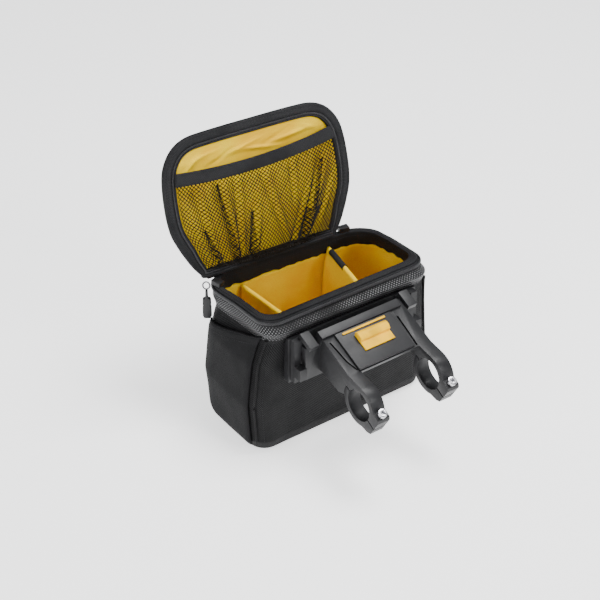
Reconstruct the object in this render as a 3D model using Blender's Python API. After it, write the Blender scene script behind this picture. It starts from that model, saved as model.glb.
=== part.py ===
"""Handlebar bag with its clip-on bar bracket, lid standing open.

Lengths are in metres, +Z up, +Y points ahead of the rider, +X to the rider's
right.  The origin is the middle of the bag's flat floor.  The rider's side of
the bag (rear) carries the moulded mount, and the bracket reaches back from it
to two clamps round the bar.
"""
import math

import bmesh
import bpy
from mathutils import Matrix, Vector

MM = 0.001
GAP = 0.3                 # air between pieces that touch, mm

# The bag's body, mm.
BODY_HEIGHT = 162.0       # floor to the rear lip
BODY_HALF = 107.5         # half width at the widest
BODY_REAR = 50.0          # middle of the floor to the rear wall
BODY_FRONT = 55.0         # middle of the floor to the front wall
CORNER_RADIUS = 32.0      # front corners
REAR_TIGHT = 0.6          # rear corners against the front ones
BODY_WALL = 3.6           # padded cloth wall
LINER_WALL = 1.5
FACING_DEPTH = 21.0       # dark band inside the mouth, above the lining
FRONT_SKEW = 0.085        # the left end of the front stands further forward
FRONT_SHIFT = 4.0         # and the mouth's front drifts to the left
RIM_SLOPE = 0.07          # the mouth falls towards the front
CORNER_STEPS = 6
PIPING = 1.3              # radius of the corded edges
BODY_COIL = 1.2           # radius of the zip coil round the mouth
POCKET_CLOTH = 1.4
POCKET_SWELL = 2.4
DIVIDER = 5.0

# Body sections as shares: height of BODY_HEIGHT; half width and sideways shift of
# BODY_HALF; rear and front of BODY_REAR and BODY_FRONT; radius of CORNER_RADIUS.
BODY_RINGS = (
    dict(z=0.000, half=0.893, rear=0.80, front=0.80, radius=0.75, shift=0.000, slope=0.0),
    dict(z=0.022, half=0.949, rear=0.92, front=0.91, radius=0.88, shift=0.000, slope=0.0),
    dict(z=0.086, half=0.977, rear=0.98, front=0.964, radius=0.97, shift=-0.009, slope=0.0),
    dict(z=0.370, half=1.000, rear=1.00, front=1.00, radius=1.00, shift=-0.019, slope=0.0),
    dict(z=0.667, half=0.958, rear=1.00, front=0.982, radius=1.00, shift=-0.009, slope=0.2),
    dict(z=0.802, half=0.921, rear=1.01, front=0.945, radius=1.00, shift=0.019, slope=0.5),
    dict(z=0.870, half=0.898, rear=1.11, front=0.918, radius=1.00, shift=0.009, slope=0.8),
    dict(z=0.907, half=0.893, rear=1.15, front=0.900, radius=0.97, shift=-0.005, slope=0.9),
    dict(z=0.957, half=0.879, rear=1.08, front=0.882, radius=0.94, shift=-0.019, slope=1.0),
    dict(z=1.000, half=0.865, rear=1.00, front=0.873, radius=0.91, shift=-0.028, slope=1.0),
)

# The lid, mm.
LID_LENGTH = 146.0        # hinge to the free edge
LID_HALF = 100.5          # half width at the widest
LID_SHIFT = -28.6         # hinge middle, left of the bag's middle
LID_SETBACK = 10.5        # the lid's foot lies behind the front edge of the mouth
LID_YAW = -4.8            # degrees, the left end stands further forward
LID_LEAN = 74.2           # degrees up from level
LID_BORDER = 8.5          # cloth binding round the lid
LID_COIL = 0.9            # radius of the lid's zip coil
LID_EDGE = 13.0           # binding, coil and facing together
LID_FOOT_CUT = 4.5        # how much narrower the border is at the hinge
LID_FOOT = 4.2            # lowest edge above the hinge line
LID_DEPTH = 14.2          # how far the lid's crown bulges away from the rider

# Lid outline as shares: height of LID_LENGTH, half width of LID_HALF.
LID_OUTLINE = (
    dict(v=0.031, half=0.706), dict(v=0.055, half=0.751), dict(v=0.110, half=0.811),
    dict(v=0.185, half=0.871), dict(v=0.274, half=0.930), dict(v=0.370, half=0.980),
    dict(v=0.479, half=1.000), dict(v=0.603, half=1.000), dict(v=0.712, half=0.988),
    dict(v=0.801, half=0.963), dict(v=0.870, half=0.915), dict(v=0.925, half=0.851),
    dict(v=0.966, half=0.766), dict(v=0.990, half=0.657), dict(v=0.997, half=0.517),
)

# Net pocket in the lid, mm.
BAND_BELOW = 43.0         # lid's free edge down to the band's lower edge, at its ends
BAND_TALL = 13.0
BAND_SAG = 5.5
BAND_TILT = 1.6
BAND_CLOTH = 1.0
NET_FOOT = 14.0
NET_CLOTH = 0.8
NET_BELLY = 4.2
NET_COLS, NET_ROWS = 30, 9

# The bar bracket, mm.
BAR_RADIUS = 15.9         # 31.8 mm bar
BORE_CLEAR = 0.3
CLAMP_WALL = 6.1
CLAMP_X = 41.5            # middle of each clamp, either side of the middle
CLAMP_WIDTH = 14.0
SPLIT_TILT = 30.0         # degrees the clamp's split falls to the rider
SPLIT_GAP = 1.4
BOLT_REACH = 21.0         # bar's middle to the bolt
BOLT_RADIUS = 2.4
BOLT_HEAD = 4.3
LUG_HALF = 6.3            # lug round the bolt, along the split
LUG_TALL = 14.5
DECK_SLOPE = 22.0         # degrees the deck falls to the rider
DECK_LENGTH = 50.0
DECK_THICK = 4.0
DECK_STEP = 0.15          # the deck lies this much lower than the arms' tops
DECK_X = -3.0             # deck and hooks sit a little to the left
DECK_BELOW_LIP = 25.0     # rear lip down to the deck's front edge
DECK_BEHIND = 21.0        # rear wall back to the deck's front edge
BAR_BEHIND = 61.0         # deck's front edge back to the bar's middle
BAR_BELOW = 43.0          # deck's front edge down to the bar's middle
BEAM_DEEP = 10.0
BACK_HALF = 65.0          # half width of the bracket's back plate
BACK_TALL = 37.0
MOUNT_HALF = 76.0         # half width of the moulded mount on the bag
MOUNT_TALL = 51.0
MOUNT_THICK = 7.5
HOOK_X, HOOK_WIDE, HOOK_THICK = 58.5, 10.0, 5.2
COVER_HALF, COVER_THICK = 33.0, 2.1
BUTTON_HALF, BUTTON_SHIFT = 17.5, 1.5


def material(name, rgb, rough, metal=0.0):
    mat = bpy.data.materials.new(name)
    mat.use_nodes = True
    shader = mat.node_tree.nodes["Principled BSDF"]
    shader.inputs["Base Color"].default_value = (*rgb, 1.0)
    shader.inputs["Roughness"].default_value = rough
    shader.inputs["Metallic"].default_value = metal
    mat.diffuse_color = (*rgb, 1.0)
    return mat


def add_object(name, bm, mat, smooth=True):
    """Close off a mesh given in mm: faces outward, in metres, one material."""
    bmesh.ops.remove_doubles(bm, verts=bm.verts, dist=1e-4)
    bmesh.ops.recalc_face_normals(bm, faces=bm.faces)
    bmesh.ops.triangulate(bm, faces=bm.faces, quad_method="SHORT_EDGE")
    bmesh.ops.scale(bm, vec=(MM, MM, MM), verts=bm.verts)
    for face in bm.faces:
        face.smooth = smooth
    mesh = bpy.data.meshes.new(name)
    bm.to_mesh(mesh)
    bm.free()
    if smooth:
        mesh.set_sharp_from_angle(angle=math.radians(38))
    mesh.materials.append(mat)
    obj = bpy.data.objects.new(name, mesh)
    bpy.context.scene.collection.objects.link(obj)
    return obj


def skin(bm, loops, close_first=True, close_last=True, wrap=False):
    """Join loops of equal length into one closed surface."""
    rows = [[bm.verts.new(p) for p in loop] for loop in loops]
    pairs = list(zip(rows, rows[1:]))
    if wrap:
        pairs.append((rows[-1], rows[0]))
    count = len(rows[0])
    for low, high in pairs:
        for i in range(count):
            j = (i + 1) % count
            bm.faces.new((low[i], low[j], high[j], high[i]))
    if not wrap:
        if close_first:
            bm.faces.new(rows[0][::-1])
        if close_last:
            bm.faces.new(rows[-1])
    return bm


def slab(bm, front, back):
    """Closed sheet between two grids of points."""
    rows, cols = len(front), len(front[0])
    top = [[bm.verts.new(p) for p in row] for row in front]
    low = [[bm.verts.new(p) for p in row] for row in back]
    for r in range(rows - 1):
        for c in range(cols - 1):
            bm.faces.new((top[r][c], top[r][c + 1], top[r + 1][c + 1], top[r + 1][c]))
            bm.faces.new((low[r][c], low[r + 1][c], low[r + 1][c + 1], low[r][c + 1]))
    edge = [(0, c) for c in range(cols)] + [(r, cols - 1) for r in range(1, rows)]
    edge += [(rows - 1, c) for c in range(cols - 2, -1, -1)]
    edge += [(r, 0) for r in range(rows - 2, 0, -1)]
    for (r0, c0), (r1, c1) in zip(edge, edge[1:] + edge[:1]):
        bm.faces.new((top[r0][c0], low[r0][c0], low[r1][c1], top[r1][c1]))
    return bm


def tube(bm, path, radius, sides=6, closed=False, flat=1.0, up=Vector((0, 0, 1))):
    """Round cord along a path; `flat` squeezes it across `up`."""
    path = [Vector(p) for p in path]
    loops = []
    for i, point in enumerate(path):
        if closed:
            ahead, behind = path[(i + 1) % len(path)], path[i - 1]
        else:
            ahead, behind = path[min(i + 1, len(path) - 1)], path[max(i - 1, 0)]
        along = (ahead - behind).normalized()
        side = along.cross(up)
        if side.length < 1e-6:
            side = along.cross(Vector((1, 0, 0)))
        side.normalize()
        rise = side.cross(along)
        loops.append([point + side * radius * math.cos(t) + rise * radius * flat * math.sin(t)
                      for t in (2 * math.pi * k / sides for k in range(sides))])
    return skin(bm, loops, wrap=closed)


def prism(bm, outline, place, low, high):
    """Flat outline pushed out between two heights of the placing matrix."""
    loops = [[place @ Vector((a, b, h)) for a, b in outline] for h in (low, high)]
    return skin(bm, loops)


def block(bm, x, y, z, place=Matrix.Identity(4)):
    outline = [(x[0], y[0]), (x[1], y[0]), (x[1], y[1]), (x[0], y[1])]
    return prism(bm, outline, place, z[0], z[1])


def rounded(half_x, low_y, high_y, radius, shift=0.0, skew=0.0):
    """Rounded rectangle from the front left corner round by the rear."""
    tight = radius * REAR_TIGHT
    corners = ((-1, high_y - radius, radius, 90), (-1, low_y + tight, tight, 180),
               (1, low_y + tight, tight, 270), (1, high_y - radius, radius, 0))
    points = []
    for side, cy, bend, start in corners:
        cx = side * (half_x - bend)
        for k in range(CORNER_STEPS + 1):
            t = math.radians(start + 90 * k / CORNER_STEPS)
            points.append((cx + bend * math.cos(t), cy + bend * math.sin(t)))
    filled = []
    for i, p in enumerate(points):
        q = points[(i + 1) % len(points)]
        filled.append(p)
        if (i + 1) % (CORNER_STEPS + 1) == 0:
            filled.append(((p[0] + q[0]) / 2, (p[1] + q[1]) / 2))
    mid = (low_y + high_y) / 2
    out = []
    for x, y in filled:
        share = max(0.0, (y - mid) / (high_y - mid))
        out.append((x + shift - FRONT_SHIFT * share * skew, y - FRONT_SKEW * skew * x * share))
    return out


def sized(row):
    """A row of body shares turned into mm."""
    return dict(z=row["z"] * BODY_HEIGHT, half=row["half"] * BODY_HALF,
                rear=-row["rear"] * BODY_REAR, front=row["front"] * BODY_FRONT,
                radius=row["radius"] * CORNER_RADIUS, shift=row["shift"] * BODY_HALF,
                slope=row["slope"])


LEVELS = [sized(row) for row in BODY_RINGS]


def row_at(z):
    """Body section at any height, between the rows of the table."""
    for low, high in zip(LEVELS, LEVELS[1:]):
        if z <= high["z"]:
            t = max(0.0, (z - low["z"]) / (high["z"] - low["z"]))
            return {key: low[key] + (high[key] - low[key]) * t for key in low}
    return dict(LEVELS[-1])


def fall(row, y):
    """How far the mouth's slope lowers a point of this section."""
    return RIM_SLOPE * row["slope"] * (y + BODY_REAR)


def body_ring(row, inset=0.0, lift=0.0):
    flat = rounded(row["half"] - inset, row["rear"] + inset, row["front"] - inset,
                   max(row["radius"] - inset, 6), row["shift"], row["slope"])
    return [Vector((x, y, row["z"] + lift - fall(row, y))) for x, y in flat]


def mouth_front(x, inset=0.0):
    """Front edge of the mouth at a given x, with its height."""
    rim = LEVELS[-1]
    y = rim["front"] - inset - FRONT_SKEW * x
    return y, rim["z"] - fall(rim, y)


for old in list(bpy.data.objects):
    bpy.data.objects.remove(old, do_unlink=True)

CLOTH = material("cloth", (0.022, 0.022, 0.024), 0.85)
COARSE = material("coarse_cloth", (0.035, 0.035, 0.037), 0.8)
BINDING = material("binding", (0.045, 0.045, 0.048), 0.75)
YELLOW = material("yellow_lining", (0.80, 0.52, 0.045), 0.7)
NET = material("net", (0.03, 0.028, 0.024), 0.8)
COIL = material("zip_coil", (0.012, 0.012, 0.013), 0.4)
PLASTIC = material("plastic", (0.055, 0.055, 0.058), 0.45)
BUTTON = material("button_yellow", (0.90, 0.62, 0.10), 0.4)
STEEL = material("steel", (0.62, 0.62, 0.64), 0.25, 1.0)

# Body shell: padded cloth walls and floor, open at the top.
SIDE_LEVELS = [row["z"] for row in LEVELS[2:]]
FLOOR = dict(row_at(BODY_WALL))
FLOOR.update(half=FLOOR["half"] - 1.3, rear=FLOOR["rear"] + 1.3, front=FLOOR["front"] - 1.3)
outer = [body_ring(row) for row in LEVELS]
inner = [body_ring(row_at(z), BODY_WALL) for z in reversed(SIDE_LEVELS)]
inner.append(body_ring(FLOOR, BODY_WALL))
add_object("body_shell", skin(bmesh.new(), outer + inner), CLOTH)

# Facing: the dark band inside the mouth, and the yellow liner below it.
liner_out = BODY_WALL + GAP
liner_in = liner_out + LINER_WALL
facing_low = BODY_HEIGHT - FACING_DEPTH
tops = [z for z in SIDE_LEVELS if z > facing_low + 2][:-1] + [BODY_HEIGHT - 0.5]
band = [facing_low] + tops
loops = [body_ring(row_at(z), liner_out) for z in band]
loops += [body_ring(row_at(z), liner_in) for z in reversed(band)]
add_object("mouth_facing", skin(bmesh.new(), loops, wrap=True), BINDING)

liner_top = facing_low - GAP
walls = [z for z in SIDE_LEVELS if z < liner_top - 2] + [liner_top]
loops = [body_ring(FLOOR, liner_out, GAP)]
loops += [body_ring(row_at(z), liner_out) for z in walls]
loops += [body_ring(row_at(z), liner_in) for z in reversed(walls)]
loops.append(body_ring(FLOOR, liner_in, GAP + LINER_WALL))
add_object("liner", skin(bmesh.new(), loops), YELLOW)

# Zip coil round the outside of the mouth, left, rear and right.
zip_ring = body_ring(row_at(BODY_HEIGHT - 4.5), -(BODY_COIL + GAP))
zip_path = zip_ring[3:3 * (CORNER_STEPS + 2) + 3]
add_object("body_zip_coil", tube(bmesh.new(), zip_path, BODY_COIL), COIL)

# Ridge where the coarse top band bulges over the rear wall.
ridge_ring = body_ring(row_at(0.883 * BODY_HEIGHT), -(PIPING + GAP))
ridge_path = ridge_ring[CORNER_STEPS + 3:2 * (CORNER_STEPS + 2) + CORNER_STEPS]
add_object("shoulder_piping", tube(bmesh.new(), ridge_path, PIPING), COARSE)

# Upright piping on the two rear corners.
for name, corner in (("corner_piping_left", CORNER_STEPS + 5),
                     ("corner_piping_right", 2 * (CORNER_STEPS + 2) + 3)):
    path = []
    for share in (0.086, 0.228, 0.370, 0.518, 0.667, 0.802, 0.845):
        ring = body_ring(row_at(share * BODY_HEIGHT), -(PIPING + 2 * GAP))
        path.append(ring[corner])
    add_object(name, tube(bmesh.new(), path, PIPING), CLOTH)

# Padded dividers as shares: x of BODY_HALF, top height of BODY_HEIGHT, each at the
# front wall and at the rear wall.
DIVIDERS = (
    dict(name="divider_left", front_x=-0.53, rear_x=-0.51, front_top=0.858, rear_top=0.858),
    dict(name="divider_right", front_x=0.39, rear_x=0.28, front_top=0.932, rear_top=0.840),
)
FOOT = BODY_WALL + LINER_WALL + 3 * GAP
TAPE_CLOTH = 1.6


def divider_line(row, t, level=None):
    """Point on a divider's middle plane: t runs from the rear wall to the front."""
    top = (row["rear_top"] + (row["front_top"] - row["rear_top"]) * t) * BODY_HEIGHT
    z = {"shoulder": top - 2, "top": top, None: top}.get(level, level)
    ring = FLOOR if level == FOOT else row_at(z)
    back_y, front_y = ring["rear"] + liner_in + 2.6 * GAP, ring["front"] - liner_in - 3.3 * GAP
    y = back_y + (front_y - back_y) * t
    x = (row["rear_x"] + (row["front_x"] - row["rear_x"]) * t) * BODY_HALF
    y -= FRONT_SKEW * ring["slope"] * x * max(0.0, 2 * t - 1)
    return Vector((x, y, z - fall(ring, y)))


for row in DIVIDERS:
    levels = [FOOT] + [z for z in SIDE_LEVELS if z < (row["rear_top"] * BODY_HEIGHT - 3)]
    front, back = [], []
    for level in levels + ["shoulder", "top"]:
        half = DIVIDER / 2 - (1.6 if level == "top" else 0.0)
        line = [divider_line(row, k / 8, level) for k in range(9)]
        front.append([p - Vector((half, 0, 0)) for p in line])
        back.append([p + Vector((half, 0, 0)) for p in line])
    add_object(row["name"], slab(bmesh.new(), front, back), YELLOW)

# Dark tape folded over the right divider's top edge, at its front end.
front, back = [], []
for k in range(6):
    spot = divider_line(DIVIDERS[1], 0.60 + 0.33 * k / 5) + Vector((0, 0, 2 * GAP))
    wide, in_wide = DIVIDER / 2 + 1.7, DIVIDER / 2 + 0.5
    front.append([spot + Vector((-wide, 0, 0)), spot + Vector((1 - wide, 0, TAPE_CLOTH)),
                  spot + Vector((wide - 1, 0, TAPE_CLOTH)), spot + Vector((wide, 0, 0))])
    back.append([spot + Vector((-wide, 0, -0.6)), spot + Vector((-in_wide, 0, 0)),
                 spot + Vector((in_wide, 0, 0)), spot + Vector((wide, 0, -0.6))])
add_object("divider_tab", slab(bmesh.new(), front, back), BINDING)

# Side pockets: cloth panels bulging from the walls, open along a slanting hem.
POCKET_ROWS, POCKET_COLS = 9, 14
POCKET_STANDOFF = 1.3


def wall_point(z, y, side, out):
    """Point `out` mm outside the side wall at a given height and y."""
    ring = body_ring(row_at(z), -out)
    hits = []
    for p, q in zip(ring, ring[1:] + ring[:1]):
        if (p.y - y) * (q.y - y) <= 0 and abs(p.y - q.y) > 1e-6:
            hits.append(p.lerp(q, (y - p.y) / (q.y - p.y)))
    return max(hits, key=lambda hit: side * hit.x)


for side, name in ((-1, "side_pocket_left"), (1, "side_pocket_right")):
    front, back = [], []
    for r in range(POCKET_ROWS):
        up = r / (POCKET_ROWS - 1)
        a, b = [], []
        for c in range(POCKET_COLS + 1):
            along = c / POCKET_COLS
            hem = (0.735 + 0.136 * along ** 1.4) * BODY_HEIGHT
            foot = 0.055 * BODY_HEIGHT
            z = foot + (hem - foot) * up
            ring = row_at(z)
            y0 = ring["front"] - ring["radius"] * 0.36 + 7 * (0.5 - up)
            y1 = ring["rear"] + ring["radius"] * REAR_TIGHT * 0.62
            y = y0 + (y1 - y0) * along
            swell = max(math.sin(math.pi * along), 0) ** 0.6 * (0.3 + 0.7 * up) * POCKET_SWELL
            b.append(wall_point(z, y, side, POCKET_STANDOFF + swell))
            a.append(wall_point(z, y, side, POCKET_STANDOFF + swell + POCKET_CLOTH))
        front.append(a)
        back.append(b)
    add_object(name, slab(bmesh.new(), front, back), CLOTH)

# The open lid. Lid frame: x along the hinge, y up the lid, z towards the rider.
hinge_y, hinge_z = mouth_front(0)
LID = (Matrix.Translation((LID_SHIFT, hinge_y - LID_SETBACK, hinge_z - GAP))
       @ Matrix.Rotation(math.radians(LID_YAW), 4, "Z")
       @ Matrix.Rotation(math.radians(LID_LEAN), 4, "X"))
LID_MIDDLE = Vector((0, LID_LENGTH / 2, 0))


def lid_loop(offset, w):
    """Lid outline moved inward by `offset` mm, at height w; narrower at the hinge."""
    right = [(row["half"] * LID_HALF, row["v"] * LID_LENGTH) for row in LID_OUTLINE]
    top = [(share * LID_HALF, LID_LENGTH) for share in (0.26, 0, -0.26)]
    left = [(-a, b) for a, b in reversed(right)]
    foot = [(share * LID_HALF, LID_FOOT) for share in (-0.35, 0, 0.35)]
    ring = [Vector((a, b, 0)) for a, b in right + top + left + foot]
    out = []
    for i, p in enumerate(ring):
        along = (ring[(i + 1) % len(ring)] - ring[i - 1]).normalized()
        near_hinge = 1 - min(1.0, max(0.0, p.y / LID_LENGTH - 0.03) / 0.18)
        step = offset - LID_FOOT_CUT * near_hinge * min(offset / LID_BORDER, 1)
        q = p + Vector((-along.y, along.x, 0)) * step
        out.append(Vector((q.x, q.y, w)))
    return out


def lid_shrunk(scale, w):
    return [Vector((LID_MIDDLE.x + (p.x - LID_MIDDLE.x) * scale,
                    LID_MIDDLE.y + (p.y - LID_MIDDLE.y) * scale, w))
            for p in lid_loop(LID_EDGE, 0)]


def lid_half(v, offset):
    """Half width of the moved-in outline at height v."""
    side = sorted((p.y, p.x) for p in lid_loop(offset, 0) if p.x > 0)
    for (y0, x0), (y1, x1) in zip(side, side[1:]):
        if y0 <= v <= y1:
            return x0 + (x1 - x0) * (v - y0) / max(y1 - y0, 1e-6)
    return side[0][1] if v < side[0][0] else side[-1][1]


def placed(loops, matrix):
    return [[matrix @ p for p in loop] for loop in loops]


crown = LID_DEPTH
lid_shell = [lid_shrunk(0.4, 2.7 - crown), lid_shrunk(0.76, 5 - crown), lid_loop(LID_EDGE, -5.4),
             lid_loop(2, -3.2), lid_loop(0, -3.4), lid_loop(0, -4.6),
             lid_loop(3, -6.6), lid_loop(LID_EDGE, -8.6), lid_shrunk(0.76, 2.2 - crown),
             lid_shrunk(0.4, -crown)]
add_object("lid_shell", skin(bmesh.new(), placed(lid_shell, LID)), CLOTH)

binding = [lid_loop(0, -2.8), lid_loop(0, -1.4), lid_loop(0.9, 0.4),
           lid_loop(2.6, 1.0), lid_loop(LID_BORDER - 0.6, 0.9),
           lid_loop(LID_BORDER, 0.1), lid_loop(LID_BORDER, -2.6)]
add_object("lid_binding", skin(bmesh.new(), placed(binding, LID), wrap=True), BINDING)

coil_path = [LID @ p for p in lid_loop(LID_BORDER + LID_COIL + GAP, 0.3)]
normal = (LID.to_3x3() @ Vector((0, 0, 1))).normalized()
add_object("lid_zip_coil", tube(bmesh.new(), coil_path, LID_COIL, closed=True, up=normal), COIL)

facing_out = LID_BORDER + 2 * LID_COIL + 2 * GAP
facing = [lid_loop(facing_out, 0.6), lid_loop(LID_EDGE, 0.2),
          lid_loop(LID_EDGE, -1.4), lid_loop(facing_out, -1.6)]
add_object("lid_facing", skin(bmesh.new(), placed(facing, LID), wrap=True), BINDING)

lining = [lid_shrunk(0.4, 4.6 - crown), lid_shrunk(0.76, 6.8 - crown),
          lid_loop(LID_EDGE + 2 * GAP, -3.2), lid_loop(LID_EDGE + 2 * GAP, -2.0),
          lid_shrunk(0.76, 8.2 - crown), lid_shrunk(0.4, 5.9 - crown)]
add_object("lid_lining", skin(bmesh.new(), placed(lining, LID)), YELLOW)

# Net pocket: gathered net hung from the band; folds fan out from its foot.
def band_edge(across, lift):
    low = LID_LENGTH - BAND_BELOW
    return low + lift + BAND_TILT * across - BAND_SAG * (1 - across ** 2)


front, back = [], []
for r in range(NET_ROWS):
    a, b = [], []
    for c in range(NET_COLS + 1):
        across = 2 * c / NET_COLS - 1
        up = r / (NET_ROWS - 1)
        v = NET_FOOT + (band_edge(across, 3) - NET_FOOT) * up
        half = lid_half(v, LID_EDGE + GAP)
        fold = math.cos(across * 26) * (0.9 - 0.3 * up) * (1 - across ** 6)
        belly = NET_BELLY * (1 - across ** 2) * math.sin(math.pi * (0.1 + 0.8 * up))
        w = 0.6 + belly + fold * min(1, 6 * (1 - abs(across))) * (0.2 + 0.8 * (1 - up))
        w = max(w, 0.3)
        a.append(LID @ Vector((across * half, v, w + NET_CLOTH)))
        b.append(LID @ Vector((across * half, v, w)))
    front.append(a)
    back.append(b)
add_object("mesh_pocket", slab(bmesh.new(), front, back), NET)

front, back = [], []
for lift in (0.0, BAND_TALL):
    a, b = [], []
    for c in range(17):
        across = c / 8 - 1
        v = band_edge(across, lift)
        half = lid_half(v, LID_EDGE - 2)
        w = 1.0 + NET_CLOTH + 3.4 * (1 - across ** 2)
        a.append(LID @ Vector((across * half, v, w + BAND_CLOTH)))
        b.append(LID @ Vector((across * half, v, w)))
    front.append(a)
    back.append(b)
add_object("pocket_band", slab(bmesh.new(), front, back), BINDING)

# Hinge flap: cloth strip from the front of the mouth to the foot of the lid.
HINGE_CLOTH = 1.3
front, back = [], []
for k in range(3):
    a, b = [], []
    for c in range(9):
        lid_end = LID @ Vector(((c / 4 - 1) * 0.68 * LID_HALF, 2.4, -3.6))
        wall_y, wall_z = mouth_front(lid_end.x, 1.4)
        t = k / 2
        y = lid_end.y + (wall_y - lid_end.y) * t
        z = wall_z + GAP + 0.5 * (1 - t)
        a.append(Vector((lid_end.x, y, z + HINGE_CLOTH)))
        b.append(Vector((lid_end.x, y, z)))
    front.append(a)
    back.append(b)
add_object("lid_hinge", slab(bmesh.new(), front, back), CLOTH)

# Zip sliders at the ends of the mouth's zip, and the pull on the left one.
rim = LEVELS[-1]
left_x = rim["shift"] - rim["half"] + 0.5
left_y = rim["front"] - 15.0
right_x = 0.56 * BODY_HALF
right_y = mouth_front(right_x, 3.0)[0]
for name, x, y, turn, lift in (("zip_slider_left", left_x, left_y, 20, 0.8),
                               ("zip_slider_right", right_x, right_y, 80, 0.5)):
    place = (Matrix.Translation((x, y, rim["z"] - fall(rim, y) + lift))
             @ Matrix.Rotation(math.radians(turn), 4, "Z"))
    outline = [(-4, -6), (4, -6), (3, 5), (-3, 5)]
    add_object(name, prism(bmesh.new(), outline, place, 0, 4.8), COIL)

PULL_TURN = Matrix.Rotation(math.radians(-35), 4, "Z")
PULL_LONG = 32.4
RING_WIRE = 0.8
pull_spot = Vector((left_x - 6.3, left_y + 9.5, 0))
ring_z = rim["z"] - fall(rim, left_y) - 3.4
ring_path = []
for k in range(14):
    t = 2 * math.pi * k / 14
    spot = PULL_TURN @ Vector((3.4 * math.sin(t), 0, 4.2 * math.cos(t)))
    ring_path.append(pull_spot + Vector((0, 0, ring_z)) + spot)
ring_up = PULL_TURN @ Vector((0, 1, 0))
add_object("zip_ring", tube(bmesh.new(), ring_path, RING_WIRE, closed=True, up=ring_up), STEEL)

pull_top = ring_z - 4.2 - RING_WIRE - GAP
place = (Matrix.Translation(pull_spot + Vector((0, 0, pull_top))) @ PULL_TURN
         @ Matrix.Rotation(math.radians(90), 4, "X"))
half_pull = [(1.2, 0), (1.4, -8.6), (4, -10.1), (4.2, -16.1), (3.4, -18.1), (4.4, -19.6),
             (4.4, 2.8 - PULL_LONG), (3, -PULL_LONG)]
pull = half_pull + [(-a, b) for a, b in reversed(half_pull)]
add_object("zip_pull", prism(bmesh.new(), pull, place, -2.2, 2.2), PLASTIC)

# Mount on the bag and bracket on the bar. Deck frame: x sideways, then towards the
# rider down the deck, then up from its face. Clamp frame: the same from the bar's
# middle along the clamp's split.
DECK_FRONT = (-BODY_REAR - DECK_BEHIND, BODY_HEIGHT - DECK_BELOW_LIP)
BAR = (DECK_FRONT[0] - BAR_BEHIND, DECK_FRONT[1] - BAR_BELOW)
CLAMP_OUTER = BAR_RADIUS + CLAMP_WALL
SIDEWAYS = Matrix(((0, 0, 1, 0), (1, 0, 0, 0), (0, 1, 0, 0), (0, 0, 0, 1)))


def sloping(degrees, spot):
    t = math.radians(degrees)
    return Matrix(((1, 0, 0, 0), (0, -math.cos(t), -math.sin(t), spot[0]),
                   (0, -math.sin(t), math.cos(t), spot[1]), (0, 0, 0, 1)))


DECK = sloping(DECK_SLOPE, DECK_FRONT)
CLAMP = sloping(SPLIT_TILT, BAR)


def cutter(name, bm):
    obj = add_object(name, bm, PLASTIC, smooth=False)
    obj.hide_render = True
    obj.display_type = "WIRE"
    return obj


def combine(target, tools, operation):
    for tool in tools:
        mod = target.modifiers.new(tool.name, "BOOLEAN")
        mod.operation = operation
        mod.solver = "EXACT"
        mod.object = tool


def span(side, low, high):
    """The two x values of a strip on the left (-1) or right (1)."""
    return tuple(sorted((side * low, side * high)))


def deck_point(reach, rise):
    p = DECK @ Vector((0, reach, rise))
    return (p.y, p.z)


def clamp_point(reach, rise):
    p = CLAMP @ Vector((0, reach, rise))
    return (p.y, p.z)


def arc(radius, start, end, steps):
    """Points on a circle round the bar, in degrees from the rider's end of the split."""
    points = []
    for k in range(steps + 1):
        t = math.radians(start + (end - start) * k / steps)
        points.append(clamp_point(radius * math.cos(t), radius * math.sin(t)))
    return points


def cylinder(place, radius, low, high, sides=20):
    outline = [(radius * math.cos(2 * math.pi * k / sides),
                radius * math.sin(2 * math.pi * k / sides)) for k in range(sides)]
    return prism(bmesh.new(), outline, place, low, high)


# Mount moulded to the bag's rear wall: plate, side rails and hook fingers that
# reach over the bracket's front rail.
wall_y = -BODY_REAR - 0.5
plate_y = -BODY_REAR - MOUNT_THICK - 0.5
mount_low = DECK_FRONT[1] - MOUNT_TALL
plate_side = [(wall_y, mount_low), (plate_y, mount_low), (plate_y, DECK_FRONT[1]),
              (plate_y + 3.2, DECK_FRONT[1]), (wall_y - 0.7, DECK_FRONT[1] - 9)]
mount = add_object("bag_mount", prism(bmesh.new(), plate_side, SIDEWAYS,
                                      -MOUNT_HALF, MOUNT_HALF), PLASTIC, smooth=False)
back_y = DECK_FRONT[0] + 6.4
rail_in, rail_out = BACK_HALF + 0.4, MOUNT_HALF - 2.6
tools = []
for side, tag in ((-1, "left"), (1, "right")):
    rail = span(side, rail_in + 0.6, rail_out)
    tools.append(cutter("rail_" + tag, block(bmesh.new(), rail, (back_y + 0.4, plate_y + 1),
                                             (mount_low + 2, DECK_FRONT[1] - 1))))
    middle = DECK_X + side * HOOK_X
    root, neck, hook = [(middle - half, middle + half) for half in
                        (HOOK_WIDE / 2 - 0.2, HOOK_WIDE / 2 - 0.1, HOOK_WIDE / 2)]
    tools.append(cutter("root_" + tag, block(bmesh.new(), root, (back_y + 0.4, plate_y + 0.8),
                                             (DECK_FRONT[1] - 17, DECK_FRONT[1] - 0.5))))
    tools.append(cutter("neck_" + tag, block(bmesh.new(), neck, (back_y + 0.5, plate_y - 2.6),
                                             (DECK_FRONT[1] - 7, DECK_FRONT[1] + 2.4))))
    finger = [(hook[0], -9.5), (hook[1], -9.5), (hook[1], 9), (hook[0], 9)]
    tools.append(cutter("hook_" + tag, prism(bmesh.new(), finger, DECK,
                                             -HOOK_THICK / 2, HOOK_THICK / 2)))
    tools.append(cutter("low_hook_" + tag, block(bmesh.new(), span(side, rail_in, rail_out),
                                                 (back_y - 8.6, back_y + 1.4),
                                                 (mount_low + 9, mount_low + 22))))
combine(mount, tools, "UNION")

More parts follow.
